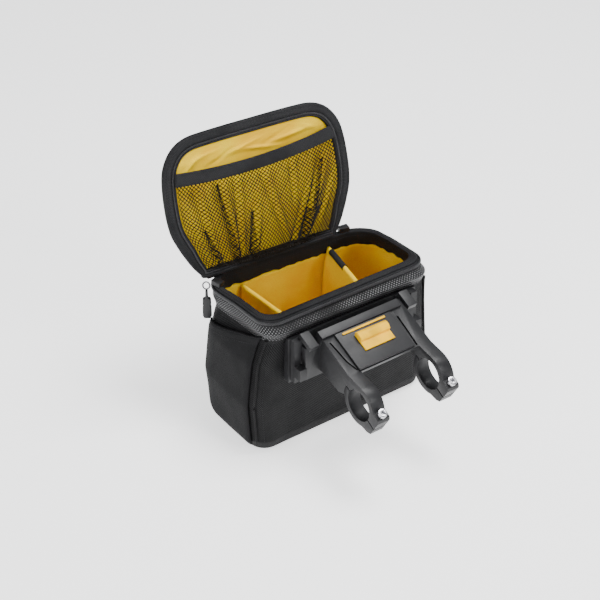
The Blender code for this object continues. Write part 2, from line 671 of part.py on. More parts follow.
# Bracket: back plate, sloping deck, two arms with the upper clamp halves.
half_gap = SPLIT_GAP / 2
bore = BAR_RADIUS + BORE_CLEAR
lug_end = BOLT_REACH + LUG_HALF
back_top = DECK_FRONT[1] - 8
arm_side = [(back_y - 0.2, DECK_FRONT[1] + 0.3)]
arm_side += [deck_point(b, 0) for b in (0, DECK_LENGTH / 2, DECK_LENGTH)]
arm_side += arc(CLAMP_OUTER, 112, 49, 6)
arm_side += [clamp_point(BOLT_REACH - BOLT_HEAD - 0.4, LUG_TALL),
             clamp_point(lug_end - 2, LUG_TALL),
             clamp_point(lug_end, LUG_TALL - 3), clamp_point(lug_end, half_gap)]
arm_side += arc(bore, 2.5, 177.5, 16)
arm_side += [clamp_point(-CLAMP_OUTER, half_gap)]
arm_side += [deck_point(b, -BEAM_DEEP) for b in (0.72 * DECK_LENGTH, 4)]
arm_side += [(back_y - 0.2, DECK_FRONT[1] - 17)]
web_side = [(back_y - 0.4, DECK_FRONT[1] - 3), deck_point(0.88 * DECK_LENGTH, -3)]
web_side += [clamp_point(-CLAMP_OUTER - 0.6, 3), clamp_point(-CLAMP_OUTER - 0.6, half_gap)]
web_side += arc(CLAMP_OUTER + 0.6, 184, 212, 3)
web_side += [(DECK_FRONT[0] - 30, BAR[1] - 4), (DECK_FRONT[0] - 4, BAR[1] + 3),
             (back_y - 0.4, BAR[1] + 3)]
bracket = add_object("bracket", block(bmesh.new(), (-BACK_HALF, BACK_HALF),
                                      (back_y - 5.9, back_y + 0.2),
                                      (back_top - BACK_TALL, back_top)),
                     PLASTIC, smooth=False)
arm_in = CLAMP_X - CLAMP_WIDTH / 2
arm_out = CLAMP_X + CLAMP_WIDTH / 2
RAIL_HALF = HOOK_X - HOOK_WIDE / 2 - 6.5
rail = [(DECK_X - RAIL_HALF, -4), (DECK_X + RAIL_HALF, -4),
        (DECK_X + RAIL_HALF, 4.6), (DECK_X - RAIL_HALF, 4.6)]
plate = [(-arm_in - 0.5, -3), (arm_in + 0.5, -3), (arm_in + 0.5, DECK_LENGTH - 0.6),
         (-arm_in - 0.5, DECK_LENGTH - 0.6)]
tools = [cutter("deck", prism(bmesh.new(), plate, DECK, -DECK_THICK, -DECK_STEP)),
         cutter("front_rail", prism(bmesh.new(), rail, DECK, -9, 3.6))]
holes = []
for side, tag in ((-1, "left"), (1, "right")):
    x0, x1 = span(side, arm_in, arm_out)
    tools.append(cutter("arm_" + tag, prism(bmesh.new(), arm_side, SIDEWAYS, x0, x1)))
    w0, w1 = span(side, arm_out - 3.9, arm_out - 0.1)
    tools.append(cutter("web_" + tag, prism(bmesh.new(), web_side, SIDEWAYS, w0, w1)))
    bolt = CLAMP @ Matrix.Translation((side * CLAMP_X, BOLT_REACH, 0))
    holes.append(cutter("bolt_hole_" + tag, cylinder(bolt, BOLT_RADIUS + BORE_CLEAR, -30, 30)))

# Grooves that part the deck's spring plate from the arms, as shares of DECK_LENGTH
# down the deck and of arm_in sideways.
GROOVE = 1.7
GROOVES = (
    dict(name="left", a=(-1.27, 0.20), b=(-1.19, 0.70), c=(-1.07, 0.94)),
    dict(name="right", a=(1.01, 0.24), b=(0.985, 0.70), c=(0.96, 0.96)),
)
for row in GROOVES:
    line = [Vector((x * arm_in, y * DECK_LENGTH)) for x, y in (row["a"], row["b"], row["c"])]
    ring = [(p.x - GROOVE / 2, p.y) for p in line] + [(p.x + GROOVE / 2, p.y) for p in line[::-1]]
    holes.append(cutter("groove_" + row["name"], prism(bmesh.new(), ring, DECK, -2.8, 4)))
combine(bracket, tools, "UNION")
combine(bracket, holes, "DIFFERENCE")

# Clamp caps: the lower halves, with the bolt lug at the rider's side.
cap_side = [clamp_point(bore + 0.7, -half_gap), clamp_point(lug_end, -half_gap),
            clamp_point(lug_end, 5 - LUG_TALL), clamp_point(lug_end - 4, 1.5 - LUG_TALL)]
cap_side += arc(CLAMP_OUTER, -46, -178.2, 11)
cap_side += arc(bore, -177.5, -2.5, 16)
head_low = LUG_TALL + 0.4
for (side, tag), hole in zip(((-1, "left"), (1, "right")), holes):
    x0, x1 = span(side, arm_in, arm_out)
    cap = add_object("clamp_cap_" + tag, prism(bmesh.new(), cap_side, SIDEWAYS, x0, x1),
                     PLASTIC, smooth=False)
    combine(cap, [hole], "DIFFERENCE")
    bolt = CLAMP @ Matrix.Translation((side * CLAMP_X, BOLT_REACH, 0))
    head = add_object("clamp_bolt_" + tag,
                      cylinder(bolt, BOLT_HEAD, head_low, head_low + 4.5), STEEL)
    socket = cutter("socket_" + tag, cylinder(bolt, 2.3, head_low + 1.9, head_low + 7, sides=6))
    shank = cutter("shank_" + tag, cylinder(bolt, BOLT_RADIUS, -head_low, head_low + 0.6,
                                            sides=12))
    combine(head, [shank], "UNION")
    combine(head, [socket], "DIFFERENCE")

# Release cover with the button and the latch strip that slide on it.
cover = [(DECK_X - COVER_HALF, 5.2), (DECK_X + COVER_HALF, 5.2),
         (DECK_X + COVER_HALF, DECK_LENGTH - 1.6), (DECK_X - COVER_HALF, DECK_LENGTH - 1.6)]
add_object("release_cover", prism(bmesh.new(), cover, DECK, GAP, GAP + COVER_THICK),
           PLASTIC, smooth=False)
slide = GAP + COVER_THICK + GAP
BUTTON_FRONT, BUTTON_REAR = 14.0, 33.6
BUTTON_TALL, BUTTON_PLATE = 9.6, 1.8
groove = slide + BUTTON_PLATE
button_side = [(BUTTON_FRONT, slide), (BUTTON_FRONT - 0.5, 0.66 * BUTTON_TALL),
               (BUTTON_FRONT + 0.9, 0.88 * BUTTON_TALL), (BUTTON_FRONT + 3.2, BUTTON_TALL),
               (BUTTON_FRONT + 6.4, 0.97 * BUTTON_TALL), (BUTTON_FRONT + 9.3, 0.80 * BUTTON_TALL),
               (BUTTON_FRONT + 10.3, 0.64 * BUTTON_TALL), (BUTTON_FRONT + 9.2, groove + 1.5),
               (BUTTON_FRONT + 9.8, groove), (BUTTON_REAR, groove), (BUTTON_REAR, slide)]
middle = DECK_X + BUTTON_SHIFT
button = add_object("release_button", prism(bmesh.new(), button_side, DECK @ SIDEWAYS,
                                            middle - BUTTON_HALF, middle + BUTTON_HALF),
                    BUTTON, smooth=False)
bevel = button.modifiers.new("soft edges", "BEVEL")
bevel.width = 0.7 * MM
bevel.segments = 2
bevel.limit_method = "ANGLE"
LATCH_HALF, LATCH_REAR = 25.0, BUTTON_FRONT - 4.4
strip = [(DECK_X - LATCH_HALF - 1, LATCH_REAR - 2.2), (DECK_X + LATCH_HALF - 1, LATCH_REAR - 2.2),
         (DECK_X + LATCH_HALF - 1, LATCH_REAR), (DECK_X - LATCH_HALF - 1, LATCH_REAR)]
add_object("latch_strip", prism(bmesh.new(), strip, DECK, slide, slide + 1), BUTTON, smooth=False)
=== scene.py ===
import math
import bpy
import bmesh
import numpy as np
from mathutils import Matrix, Vector, noise


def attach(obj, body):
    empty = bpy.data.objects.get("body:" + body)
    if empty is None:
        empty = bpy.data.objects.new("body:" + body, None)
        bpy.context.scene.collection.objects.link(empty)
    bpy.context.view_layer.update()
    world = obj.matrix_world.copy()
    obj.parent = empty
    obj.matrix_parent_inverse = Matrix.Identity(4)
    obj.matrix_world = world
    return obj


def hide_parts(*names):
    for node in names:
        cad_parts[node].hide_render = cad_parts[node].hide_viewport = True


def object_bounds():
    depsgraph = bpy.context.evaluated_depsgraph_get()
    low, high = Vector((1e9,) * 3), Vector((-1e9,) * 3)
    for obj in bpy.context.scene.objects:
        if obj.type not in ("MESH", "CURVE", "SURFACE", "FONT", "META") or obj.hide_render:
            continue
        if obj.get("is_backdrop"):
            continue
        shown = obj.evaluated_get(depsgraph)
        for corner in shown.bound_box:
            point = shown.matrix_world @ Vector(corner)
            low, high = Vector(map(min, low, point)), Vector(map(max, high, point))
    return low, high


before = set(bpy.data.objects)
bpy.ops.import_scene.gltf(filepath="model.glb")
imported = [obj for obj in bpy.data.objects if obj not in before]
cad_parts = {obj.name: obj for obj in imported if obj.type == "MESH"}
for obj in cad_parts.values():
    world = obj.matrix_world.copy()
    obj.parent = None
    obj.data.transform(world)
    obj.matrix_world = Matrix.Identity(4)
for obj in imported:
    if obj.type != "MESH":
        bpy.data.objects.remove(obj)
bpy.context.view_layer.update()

MM = 0.001
BAG = "bag"

# Studio: a pale floor under the standing bag, a bright even backdrop and three soft lights,
# one overhead, one from the left and one over the camera. The camera looks down past the
# rider's left shoulder, and each light is aimed at the middle of the bag.
CAMERA_SPOT = (-0.8001, -1.0920, 1.0767)
CAMERA_TURN, CAMERA_RISE = math.radians(-35.5), math.radians(35.3)
CAMERA_LENS, CAMERA_SENSOR, CAMERA_NEAR, CAMERA_FAR = 100.8, 36.0, 0.05, 30.0
FLOOR_HALF, FLOOR_ROUGH, FLOOR_GLOW = 6.0, 0.9, 1.3
FLOOR_COLOR, GLOW_COLOR = (0.86, 0.86, 0.86, 1), (1, 1, 1, 1)
BACKDROP_COLOR, BACKDROP_POWER = (0.95, 0.97, 1.0, 1), 0.55
LIT_SPOT = Vector((0, 0, 0.12))
SOFTBOXES = (                        # name, spot, size and power
    ("overhead", (0.30, -0.20, 1.5), 0.6, 29.0),
    ("from_the_left", (-1.6, -0.5, 0.9), 0.8, 12.0),
    ("over_the_camera", (0.5, -1.7, 1.2), 0.5, 15.0),
)


def put(name, data):
    """A new object in the scene, unturned and at the origin."""
    made = bpy.data.objects.new(name, data)
    bpy.context.scene.collection.objects.link(made)
    return made


def aim(thing, spot, way):
    """Stands a camera or a light at its spot, looking along a way."""
    thing.location = spot
    thing.rotation_mode = "QUATERNION"
    thing.rotation_quaternion = way.to_track_quat("-Z", "Y")


camera_data = bpy.data.cameras.new("photo_camera")
camera_data.lens, camera_data.sensor_width = CAMERA_LENS, CAMERA_SENSOR
camera_data.clip_start, camera_data.clip_end = CAMERA_NEAR, CAMERA_FAR
camera = put("photo_camera", camera_data)
level = math.cos(CAMERA_RISE)
aim(camera, CAMERA_SPOT, Vector((-math.sin(CAMERA_TURN) * level,
                                 math.cos(CAMERA_TURN) * level, -math.sin(CAMERA_RISE))))
bpy.context.scene.camera = camera

floor_mesh = bpy.data.meshes.new("studio_floor")
floor_mesh.from_pydata([(x * FLOOR_HALF, y * FLOOR_HALF, 0)
                        for x, y in ((-1, -1), (1, -1), (1, 1), (-1, 1))], [], [(0, 1, 2, 3)])
floor_paint = bpy.data.materials.new("studio_floor")
floor_paint.use_nodes = True
floor_sockets = floor_paint.node_tree.nodes["Principled BSDF"].inputs
for socket, value in (("Base Color", FLOOR_COLOR), ("Roughness", FLOOR_ROUGH),
                      ("Emission Color", GLOW_COLOR), ("Emission Strength", FLOOR_GLOW)):
    floor_sockets[socket].default_value = value
floor_mesh.materials.append(floor_paint)
studio_floor = put("studio_floor", floor_mesh)
studio_floor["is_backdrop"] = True

backdrop = bpy.data.worlds.new("studio_backdrop")
backdrop.use_nodes = True
backdrop_sockets = backdrop.node_tree.nodes["Background"].inputs
backdrop_sockets["Color"].default_value = BACKDROP_COLOR
backdrop_sockets["Strength"].default_value = BACKDROP_POWER
bpy.context.scene.world = backdrop

for name, spot, size, power in SOFTBOXES:
    lamp_data = bpy.data.lights.new(name, "AREA")
    lamp_data.size, lamp_data.energy = size, power
    aim(put(name, lamp_data), spot, LIT_SPOT - Vector(spot))


# Bag wall: one tub of padded, matte black woven nylon, 3.6 mm thick, sewn from a front
# and back panel and two side panels. It is fullest low down, bulges under the top band
# on the rider's side, and dents where the cloth is slack between its seams.
BODY_HEIGHT, BODY_HALF = 162.0, 107.5
BODY_REAR, BODY_FRONT, CORNER_RADIUS = 50.0, 55.0, 32.0
BODY_WALL = 3.6
REAR_TIGHT, FRONT_SKEW, FRONT_SHIFT, RIM_SLOPE = 0.6, 0.085, 4.0, 0.07
LEAST_RADIUS = 6.0
BODY_KEYS = ("z", "half", "rear", "front", "radius", "shift", "slope")
BODY_SHARES = np.array((
    (0.000, 0.893, 0.80, 0.800, 0.75, 0.000, 0.0),
    (0.022, 0.949, 0.92, 0.910, 0.88, 0.000, 0.0),
    (0.086, 0.977, 0.98, 0.964, 0.97, -0.009, 0.0),
    (0.370, 1.000, 1.00, 1.000, 1.00, -0.019, 0.0),
    (0.667, 0.958, 1.00, 0.982, 1.00, -0.009, 0.2),
    (0.802, 0.921, 1.01, 0.945, 1.00, 0.019, 0.5),
    (0.870, 0.898, 1.11, 0.918, 1.00, 0.009, 0.8),
    (0.907, 0.893, 1.15, 0.900, 0.97, -0.005, 0.9),
    (0.957, 0.879, 1.08, 0.882, 0.94, -0.019, 1.0),
    (1.000, 0.865, 1.00, 0.873, 0.91, -0.028, 1.0),
))
BODY_SIZES = (BODY_HEIGHT, BODY_HALF, BODY_REAR, BODY_FRONT, CORNER_RADIUS, BODY_HALF, 1.0)
body_rows = BODY_SHARES * np.array(BODY_SIZES)
BEND, SIDE, LONG = 12, 18, 44        # points round a corner, along a side, along a face


def body_row(z):
    """Body section at a height, as a dict of mm."""
    return {key: float(np.interp(z, body_rows[:, 0], body_rows[:, i]))
            for i, key in enumerate(BODY_KEYS)}


def body_loop(z, inset=0.0):
    """Section of the bag at height z, from the front left corner round by the rear."""
    row = body_row(z)
    half, low_y = row["half"] - inset, -row["rear"] + inset
    high_y, radius = row["front"] - inset, max(row["radius"] - inset, LEAST_RADIUS)
    tight = radius * REAR_TIGHT
    corners = ((-1, high_y - radius, radius, 90), (-1, low_y + tight, tight, 180),
               (1, low_y + tight, tight, 270), (1, high_y - radius, radius, 0))
    arcs = []
    for side, cy, bend, start in corners:
        cx = side * (half - bend)
        turns = [math.radians(start + 90 * k / BEND) for k in range(BEND + 1)]
        arcs.append([(cx + bend * math.cos(t), cy + bend * math.sin(t)) for t in turns])
    flat = []
    for k, count in enumerate((SIDE, LONG, SIDE, LONG)):
        flat += arcs[k]
        (ax, ay), (bx, by) = arcs[k][-1], arcs[(k + 1) % 4][0]
        flat += [(ax + (bx - ax) * t / count, ay + (by - ay) * t / count)
                 for t in range(1, count)]
    flat = np.array(flat)
    mid = (low_y + high_y) / 2
    share = np.clip((flat[:, 1] - mid) / (high_y - mid), 0, None) * row["slope"]
    x = flat[:, 0] + row["shift"] - FRONT_SHIFT * share
    y = flat[:, 1] - FRONT_SKEW * flat[:, 0] * share
    drop = RIM_SLOPE * row["slope"] * (y + BODY_REAR)
    return np.stack([x, y, z - drop], axis=1)


# Slack places in the wall: its face, the dent's middle along the face and its height, its
# half length and half width, its turn from level in degrees, and its depth, all in mm.
SLACK = (
    ("rear", -62, 52, 55, 9, 82, 1.5), ("rear", -40, 30, 42, 8, 118, 1.2),
    ("rear", 58, 58, 46, 10, 98, 1.3), ("rear", 0, 24, 70, 12, 4, 1.0),
    ("rear", -88, 128, 16, 5, 40, 1.1), ("rear", 84, 126, 16, 5, 140, 1.1),
    ("left", -6, 140, 42, 7, -14, 1.5), ("left", 22, 134, 30, 6, 30, 1.0),
    ("right", -8, 138, 40, 7, 10, 1.4), ("right", 20, 133, 28, 6, -26, 1.0),
    ("front", -50, 88, 60, 15, 72, 1.9), ("front", 46, 80, 58, 15, 104, 1.8),
    ("front", 0, 36, 80, 13, -3, 1.4), ("front", 4, 122, 70, 12, 5, 1.5),
)
FACES = dict(rear=((1, 0), (0, -1)), front=((1, 0), (0, 1)),
             left=((0, 1), (-1, 0)), right=((0, 1), (1, 0)))


def slack_at(point, outward):
    """How far the cloth dents inwards at a point of the wall, in mm."""
    dent = 0.0
    for face, at, height, long, wide, turn, deep in SLACK:
        along, facing = FACES[face]
        seen = max(0.0, outward.x * facing[0] + outward.y * facing[1]) ** 2
        if seen < 0.05:
            continue
        a = point.x * along[0] + point.y * along[1] - at
        b = point.z - height
        t = math.radians(turn)
        u = (a * math.cos(t) + b * math.sin(t)) / long
        v = (b * math.cos(t) - a * math.sin(t)) / wide
        dent += seen * deep * math.exp(-u * u - v * v)
    return dent


def dented(loop, fade=1.0):
    """The loop with its slack places and a gentle waviness of the cloth."""
    out = []
    for i, p in enumerate(loop):
        along = Vector(loop[(i + 1) % len(loop)] - loop[i - 1])
        outward = Vector((-along.y, along.x, 0)).normalized() * -1
        spot = Vector(p)
        wave = noise.noise(spot * 0.035) * 0.9
        wave += noise.noise(spot * 0.09 + Vector((7, 3, 1))) * 0.3
        out.append(spot + outward * fade * (wave - slack_at(spot, outward)))
    return out


def cloth_mesh(name, points, faces, layout):
    """A smooth closed piece from points in metres, with its faces' cloth layout."""
    mesh = bpy.data.meshes.new(name)
    mesh.from_pydata(points, [], faces)
    for corner, spot in zip(mesh.uv_layers.new(name="cloth").data, layout):
        corner.uv = spot
    for face in mesh.polygons:
        face.use_smooth = True
    shaped = bmesh.new()
    shaped.from_mesh(mesh)
    bmesh.ops.recalc_face_normals(shaped, faces=shaped.faces)
    shaped.to_mesh(mesh)
    shaped.free()
    return put(name, mesh)


def run_along(steps):
    """Length so far at each point of a line, from its steps."""
    return np.concatenate([[0], np.cumsum(np.linalg.norm(steps, axis=1))])


def closed_skin(name, loops, round_about=False):
    """Loops of equal length, in mm, joined to one closed surface with a cloth layout:
    u is the way round in metres and v the way up."""
    rows, count = len(loops), len(loops[0])
    grid = np.array([[tuple(p) for p in loop] for loop in loops]) * MM
    middle = grid[rows // 4]
    around = run_along(np.roll(middle, -1, 0) - middle)
    upward = run_along(np.diff(grid.mean(axis=1), axis=0))
    faces, layout = [], []
    for r in range(rows if round_about else rows - 1):
        low, high = r * count, ((r + 1) % rows) * count
        top = upward[r + 1] if r + 1 < rows else upward[r] + 2 * MM
        for i in range(count):
            j = (i + 1) % count
            faces.append((low + i, low + j, high + j, high + i))
            layout += [(around[i], upward[r]), (around[i + 1], upward[r]),
                       (around[i + 1], top), (around[i], top)]
    if not round_about:
        faces += [range(count)[::-1], range((rows - 1) * count, rows * count)]
    return cloth_mesh(name, grid.reshape(-1, 3).tolist(), faces, layout)


def shade(tree, kind, feeds=None, **settings):
    """A node with its settings, its plain inputs and its links."""
    made = tree.nodes.new(kind)
    for key, value in settings.items():
        setattr(made, key, value)
    for key, value in (feeds or {}).items():
        if isinstance(value, bpy.types.NodeSocket):
            tree.links.new(value, made.inputs[key])
        else:
            made.inputs[key].default_value = value
    return made


def sum_of(tree, operation, *values):
    """The result of one Math node."""
    return shade(tree, "ShaderNodeMath", dict(enumerate(values)), operation=operation).outputs[0]


def vector_sum(tree, operation, feeds):
    """The result of one Vector Math node."""
    return shade(tree, "ShaderNodeVectorMath", feeds, operation=operation).outputs[0]


def effect(name, takes, gives):
    """An empty shader group with named inputs (name, kind, value) and outputs."""
    group = bpy.data.node_groups.new(name, "ShaderNodeTree")
    for label, kind, value in takes:
        socket = group.interface.new_socket(label, in_out="INPUT", socket_type=kind)
        if value is not None:
            socket.default_value = value
    for label in gives:
        group.interface.new_socket(label, in_out="OUTPUT", socket_type="NodeSocketFloat")
    return group, group.nodes.new("NodeGroupInput").outputs, group.nodes.new("NodeGroupOutput")


woven, taken, given = effect("woven", (("Cloth", "NodeSocketVector", None),
                                       ("Threads", "NodeSocketFloat", 500.0),
                                       ("Gap", "NodeSocketFloat", -0.1)), ("Height", "Over_sheen"))
drift = shade(woven, "ShaderNodeTexNoise", {
    "Vector": taken["Cloth"], "Scale": 160.0, "Detail": 1.0})
pull = vector_sum(woven, "SCALE", {0: drift.outputs["Color"], "Scale": 0.0006})
laid = vector_sum(woven, "ADD", {0: taken["Cloth"], 1: pull})
turns = sum_of(woven, "MULTIPLY", taken["Threads"], math.pi)
axes = shade(woven, "ShaderNodeSeparateXYZ", {
    0: vector_sum(woven, "SCALE", {0: laid, "Scale": turns})})
warp, weft = (sum_of(woven, "SINE", axes.outputs[k]) for k in (0, 1))
cross = sum_of(woven, "MULTIPLY", warp, weft)
round_thread = sum_of(woven, "POWER", sum_of(woven, "ABSOLUTE", cross), 0.5)
crown = sum_of(woven, "ADD", taken["Gap"], 0.45)
# This mask marks the threads lying on top. The cloth finishes paint those threads in their light
# tone, as painted sheen.
over = shade(woven, "ShaderNodeMapRange", {
    "Value": cross, "From Min": taken["Gap"], "From Max": crown})
woven.links.new(round_thread, given.inputs["Height"])
woven.links.new(over.outputs[0], given.inputs["Over_sheen"])

mottled, taken, given = effect("mottled", (("Place", "NodeSocketVector", None),
                                           ("Patches", "NodeSocketFloat", 30.0)),
                               ("Tone", "Fine"))
patch = shade(mottled, "ShaderNodeTexNoise", {
    "Vector": taken["Place"], "Scale": taken["Patches"], "Detail": 3.0})
fuzz = shade(mottled, "ShaderNodeTexNoise", {
    "Vector": taken["Place"], "Scale": 1400.0, "Detail": 2.0})
tone = shade(mottled, "ShaderNodeMapRange", {
    "Value": patch.outputs["Fac"], "From Min": 0.33, "From Max": 0.67, "To Min": 0.15})
mottled.links.new(tone.outputs[0], given.inputs["Tone"])
mottled.links.new(fuzz.outputs["Fac"], given.inputs["Fine"])


def new_finish(name, shine, patches):
    """A material, its tree, its coordinates and the patches of uneven tone that its tones
    follow; in the yellow cloth they are painted sheen.
    """
    finish = bpy.data.materials.new(name)
    finish.use_nodes = True
    tree = finish.node_tree
    tree.nodes["Principled BSDF"].inputs["Specular IOR Level"].default_value = shine
    coords = shade(tree, "ShaderNodeTexCoord").outputs
    patch_tone_and_sheen = shade(tree, "ShaderNodeGroup", {"Place": coords["Object"], "Patches": patches},
                 node_tree=mottled).outputs
    return finish, tree, coords, patch_tone_and_sheen


def coat_with(tree, patch_tone_and_sheen, tone, tones, rough, height, relief, strength):
    """Colour, gloss and relief of a finish, from its masks."""
    mix = shade(tree, "ShaderNodeMix", {0: tone, 6: (*tones[0], 1), 7: (*tones[1], 1)},
                data_type="RGBA")
    dull = shade(tree, "ShaderNodeMapRange", {
        "Value": patch_tone_and_sheen["Tone"], "To Min": rough[0], "To Max": rough[1]})
    bump = shade(tree, "ShaderNodeBump", {
        "Height": height, "Distance": relief, "Strength": strength})
    shader = tree.nodes["Principled BSDF"]
    tree.links.new(mix.outputs[2], shader.inputs["Base Color"])
    tree.links.new(dull.outputs[0], shader.inputs["Roughness"])
    tree.links.new(bump.outputs[0], shader.inputs["Normal"])


def cloth_finish(name, dark, light, threads, relief, rough, shine, patches=30.0, gap=-0.1):
    """Woven cloth in two tones: the light one is painted sheen on the threads lying on top,
    shown in patches of uneven tone, with the weave as relief (m).
    """
    finish, tree, coords, patch_tone_and_sheen = new_finish(name, shine, patches)
    weave = shade(tree, "ShaderNodeGroup", {"Cloth": coords["UV"], "Threads": threads,
                                            "Gap": gap}, node_tree=woven).outputs
    top_sheen_in_patches = sum_of(tree, "MULTIPLY", weave["Over_sheen"], patch_tone_and_sheen["Tone"])
    lift = sum_of(tree, "MULTIPLY", top_sheen_in_patches, patch_tone_and_sheen["Fine"])
    tone = shade(tree, "ShaderNodeMapRange", {"Value": lift, "From Min": 0.0, "From Max": 0.32})
    fluff = sum_of(tree, "MULTIPLY_ADD", patch_tone_and_sheen["Fine"], 0.35, weave["Height"])
    coat_with(tree, patch_tone_and_sheen, tone.outputs[0], (dark, light), (rough - 0.1, rough + 0.1),
              fluff, relief, 0.8)
    return finish


BLACK_NYLON = cloth_finish("black_nylon", (0.0022, 0.0022, 0.0025), (0.030, 0.030, 0.031), 860,
                           0.00026, rough=0.62, shine=0.12, gap=0.05)


def belongs(piece, slot, *nodes):
    """The piece moves with the bag, and stands for its solids where it has any."""
    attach(piece, BAG)
    if nodes:
        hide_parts(*nodes)


def soft_piece(piece, finish, slot, *nodes):
    """A piece on the bag in its one finish."""
    piece.data.materials.append(finish)
    belongs(piece, slot, *nodes)


FLOOR_UP, FOOT_TURN, SHOULDER = 3.6, 14, 140      # inner floor, ends of the plain wall
wall_heights = np.unique(np.concatenate([
    body_rows[:, 0], np.linspace(0, FOOT_TURN, 5), np.linspace(FOOT_TURN, SHOULDER, 36),
    np.linspace(SHOULDER, BODY_HEIGHT, 16)]))
outside = [dented(body_loop(z), fade=min(1.0, z / 20) * min(1.0, (BODY_HEIGHT + 0.5 - z) / 12))
           for z in wall_heights]
base = body_loop(0)
under = [[Vector((p[0] * k, p[1] * k, 0)) for p in base] for k in (0.02, 0.35, 0.7)]
inner_heights = [z for z in wall_heights if z > 8][::-2]
inside = [[Vector(p) for p in body_loop(z, BODY_WALL)] for z in inner_heights]
floor_in = [Vector((p[0], p[1], FLOOR_UP)) for p in body_loop(FLOOR_UP, BODY_WALL + 1.3)]
inside += [floor_in] + [[Vector((p.x * k, p.y * k, FLOOR_UP)) for p in floor_in]
                        for k in (0.6, 0.02)]
bag_wall = closed_skin("bag_wall", under + outside + inside)
soft_piece(bag_wall, BLACK_NYLON, "cloth", "body_shell")


# Top band: a strip of coarse ballistic weave sewn round the bag below the zip. It rolls
# out over the rider's side in a padded ridge and catches the light along its crest.
# Its pale grey light tone is painted sheen: the threads lying on top are painted bright all
# round the band, besides the real light its crest catches.
COARSE_WEAVE = cloth_finish("coarse_weave", (0.003, 0.003, 0.0035), (0.19, 0.19, 0.195), 620,
                            0.0005, rough=0.5, shine=0.25, gap=0.25)
BAND_FOOT, BAND_TOP, BAND_CREST, CREST_HALF = 136.5, 154.5, 145.5, 5.0
band_heights = np.linspace(BAND_FOOT, BAND_TOP, 15)


def band_out(z):
    """How far the band stands off the wall at a height, in mm."""
    return 0.35 + 1.5 * math.exp(-((z - BAND_CREST) / CREST_HALF) ** 2)


band_outer = [[Vector(p) + Vector((0, 0, 0.5 * noise.noise(Vector(p) * 0.05)))
               for p in body_loop(z, -band_out(z))] for z in band_heights]
band_inner = [body_loop(z, -0.15) for z in band_heights[::-1]]
top_band = closed_skin("top_band", band_outer + band_inner, round_about=True)
soft_piece(top_band, COARSE_WEAVE, "coarse_cloth", "shoulder_piping")


# Zip round the mouth: a black nylon coil sewn on a woven tape along the left, rear and
# right of the rim, with a folded cloth binding over the raw edge of the mouth. The coil and
# each row of stitches are beads at a pitch along a line, turned with it and with the cloth.
def edge_lines(name, points, edges):
    """Bare edges between points in mm, for a node tree to work on."""
    mesh = bpy.data.meshes.new(name)
    mesh.from_pydata([Vector(p) * MM for p in points], edges, [])
    return put(name, mesh)


def path_line(name, path, facing, closed=False):
    """A line of edges that keeps, at each point, which way the cloth faces."""
    edges = [(i, i + 1) for i in range(len(path) - 1)]
    if closed:
        edges.append((len(path) - 1, 0))
    line = edge_lines(name, path, edges)
    store = line.data.attributes.new("facing", "FLOAT_VECTOR", "POINT")
    for i, way in enumerate(facing):
        store.data[i].vector = way
    return line


def nodes_tree(name, sizes):
    """An empty geometry tree that takes a mesh, named sizes in metres and a finish."""
    tree = bpy.data.node_groups.new(name, "GeometryNodeTree")
    tree.interface.new_socket("Geometry", in_out="INPUT", socket_type="NodeSocketGeometry")
    for label in sizes:
        tree.interface.new_socket(label, in_out="INPUT", socket_type="NodeSocketFloat")
    tree.interface.new_socket("Finish", in_out="INPUT", socket_type="NodeSocketMaterial")
    tree.interface.new_socket("Geometry", in_out="OUTPUT", socket_type="NodeSocketGeometry")
    return tree, tree.nodes.new("NodeGroupInput").outputs, tree.nodes.new("NodeGroupOutput")


def close_tree(tree, shape, finish, given):
    """Ends a geometry tree in real geometry in its finish."""
    real = shade(tree, "GeometryNodeRealizeInstances", {0: shape})
    dressed = shade(tree, "GeometryNodeSetMaterial", {
        "Geometry": real.outputs[0], "Material": finish})
    tree.links.new(dressed.outputs[0], given.inputs[0])


def run_tree(line, tree, values, name):
    """The plain mesh that a node tree makes of a line, with its named inputs set."""
    modifier = line.modifiers.new(tree.name, "NODES")
    modifier.node_group = tree
    for item in tree.interface.items_tree:
        if item.in_out == "INPUT" and item.name in values:
            modifier[item.identifier] = values[item.name]
    bpy.context.view_layer.update()
    solid = bpy.data.meshes.new_from_object(
        line.evaluated_get(bpy.context.evaluated_depsgraph_get()))
    bpy.data.objects.remove(line, do_unlink=True)
    solid.name = name
    return put(name, solid)


beads, taken, given = nodes_tree("beads_on_line", ("Pitch", "Long", "Wide", "High"))
line = shade(beads, "GeometryNodeMeshToCurve", {0: taken["Geometry"]})
spaced = shade(beads, "GeometryNodeResampleCurve", {
    "Curve": line.outputs[0], "Length": taken["Pitch"]}, mode="LENGTH")
bead = shade(beads, "GeometryNodeMeshIcoSphere", {"Radius": 0.5, "Subdivisions": 2})
extent = shade(beads, "ShaderNodeCombineXYZ", {
    0: taken["Long"], 1: taken["Wide"], 2: taken["High"]})
sized = shade(beads, "GeometryNodeTransform", {
    "Geometry": bead.outputs[0], "Scale": extent.outputs[0]})
soft = shade(beads, "GeometryNodeSetShadeSmooth", {0: sized.outputs[0]})
tangent = shade(beads, "GeometryNodeInputTangent")
lies = shade(beads, "GeometryNodeInputNamedAttribute", {"Name": "facing"},
             data_type="FLOAT_VECTOR")
turned = shade(beads, "FunctionNodeAlignRotationToVector", {"Vector": tangent.outputs[0]},
               axis="X", pivot_axis="AUTO")
rolled = shade(beads, "FunctionNodeAlignRotationToVector", {
    "Rotation": turned.outputs[0], "Vector": lies.outputs[0]}, axis="Z", pivot_axis="X")
placed = shade(beads, "GeometryNodeInstanceOnPoints", {
    "Points": spaced.outputs[0], "Instance": soft.outputs[0], "Rotation": rolled.outputs[0]})
close_tree(beads, placed.outputs[0], taken["Finish"], given)


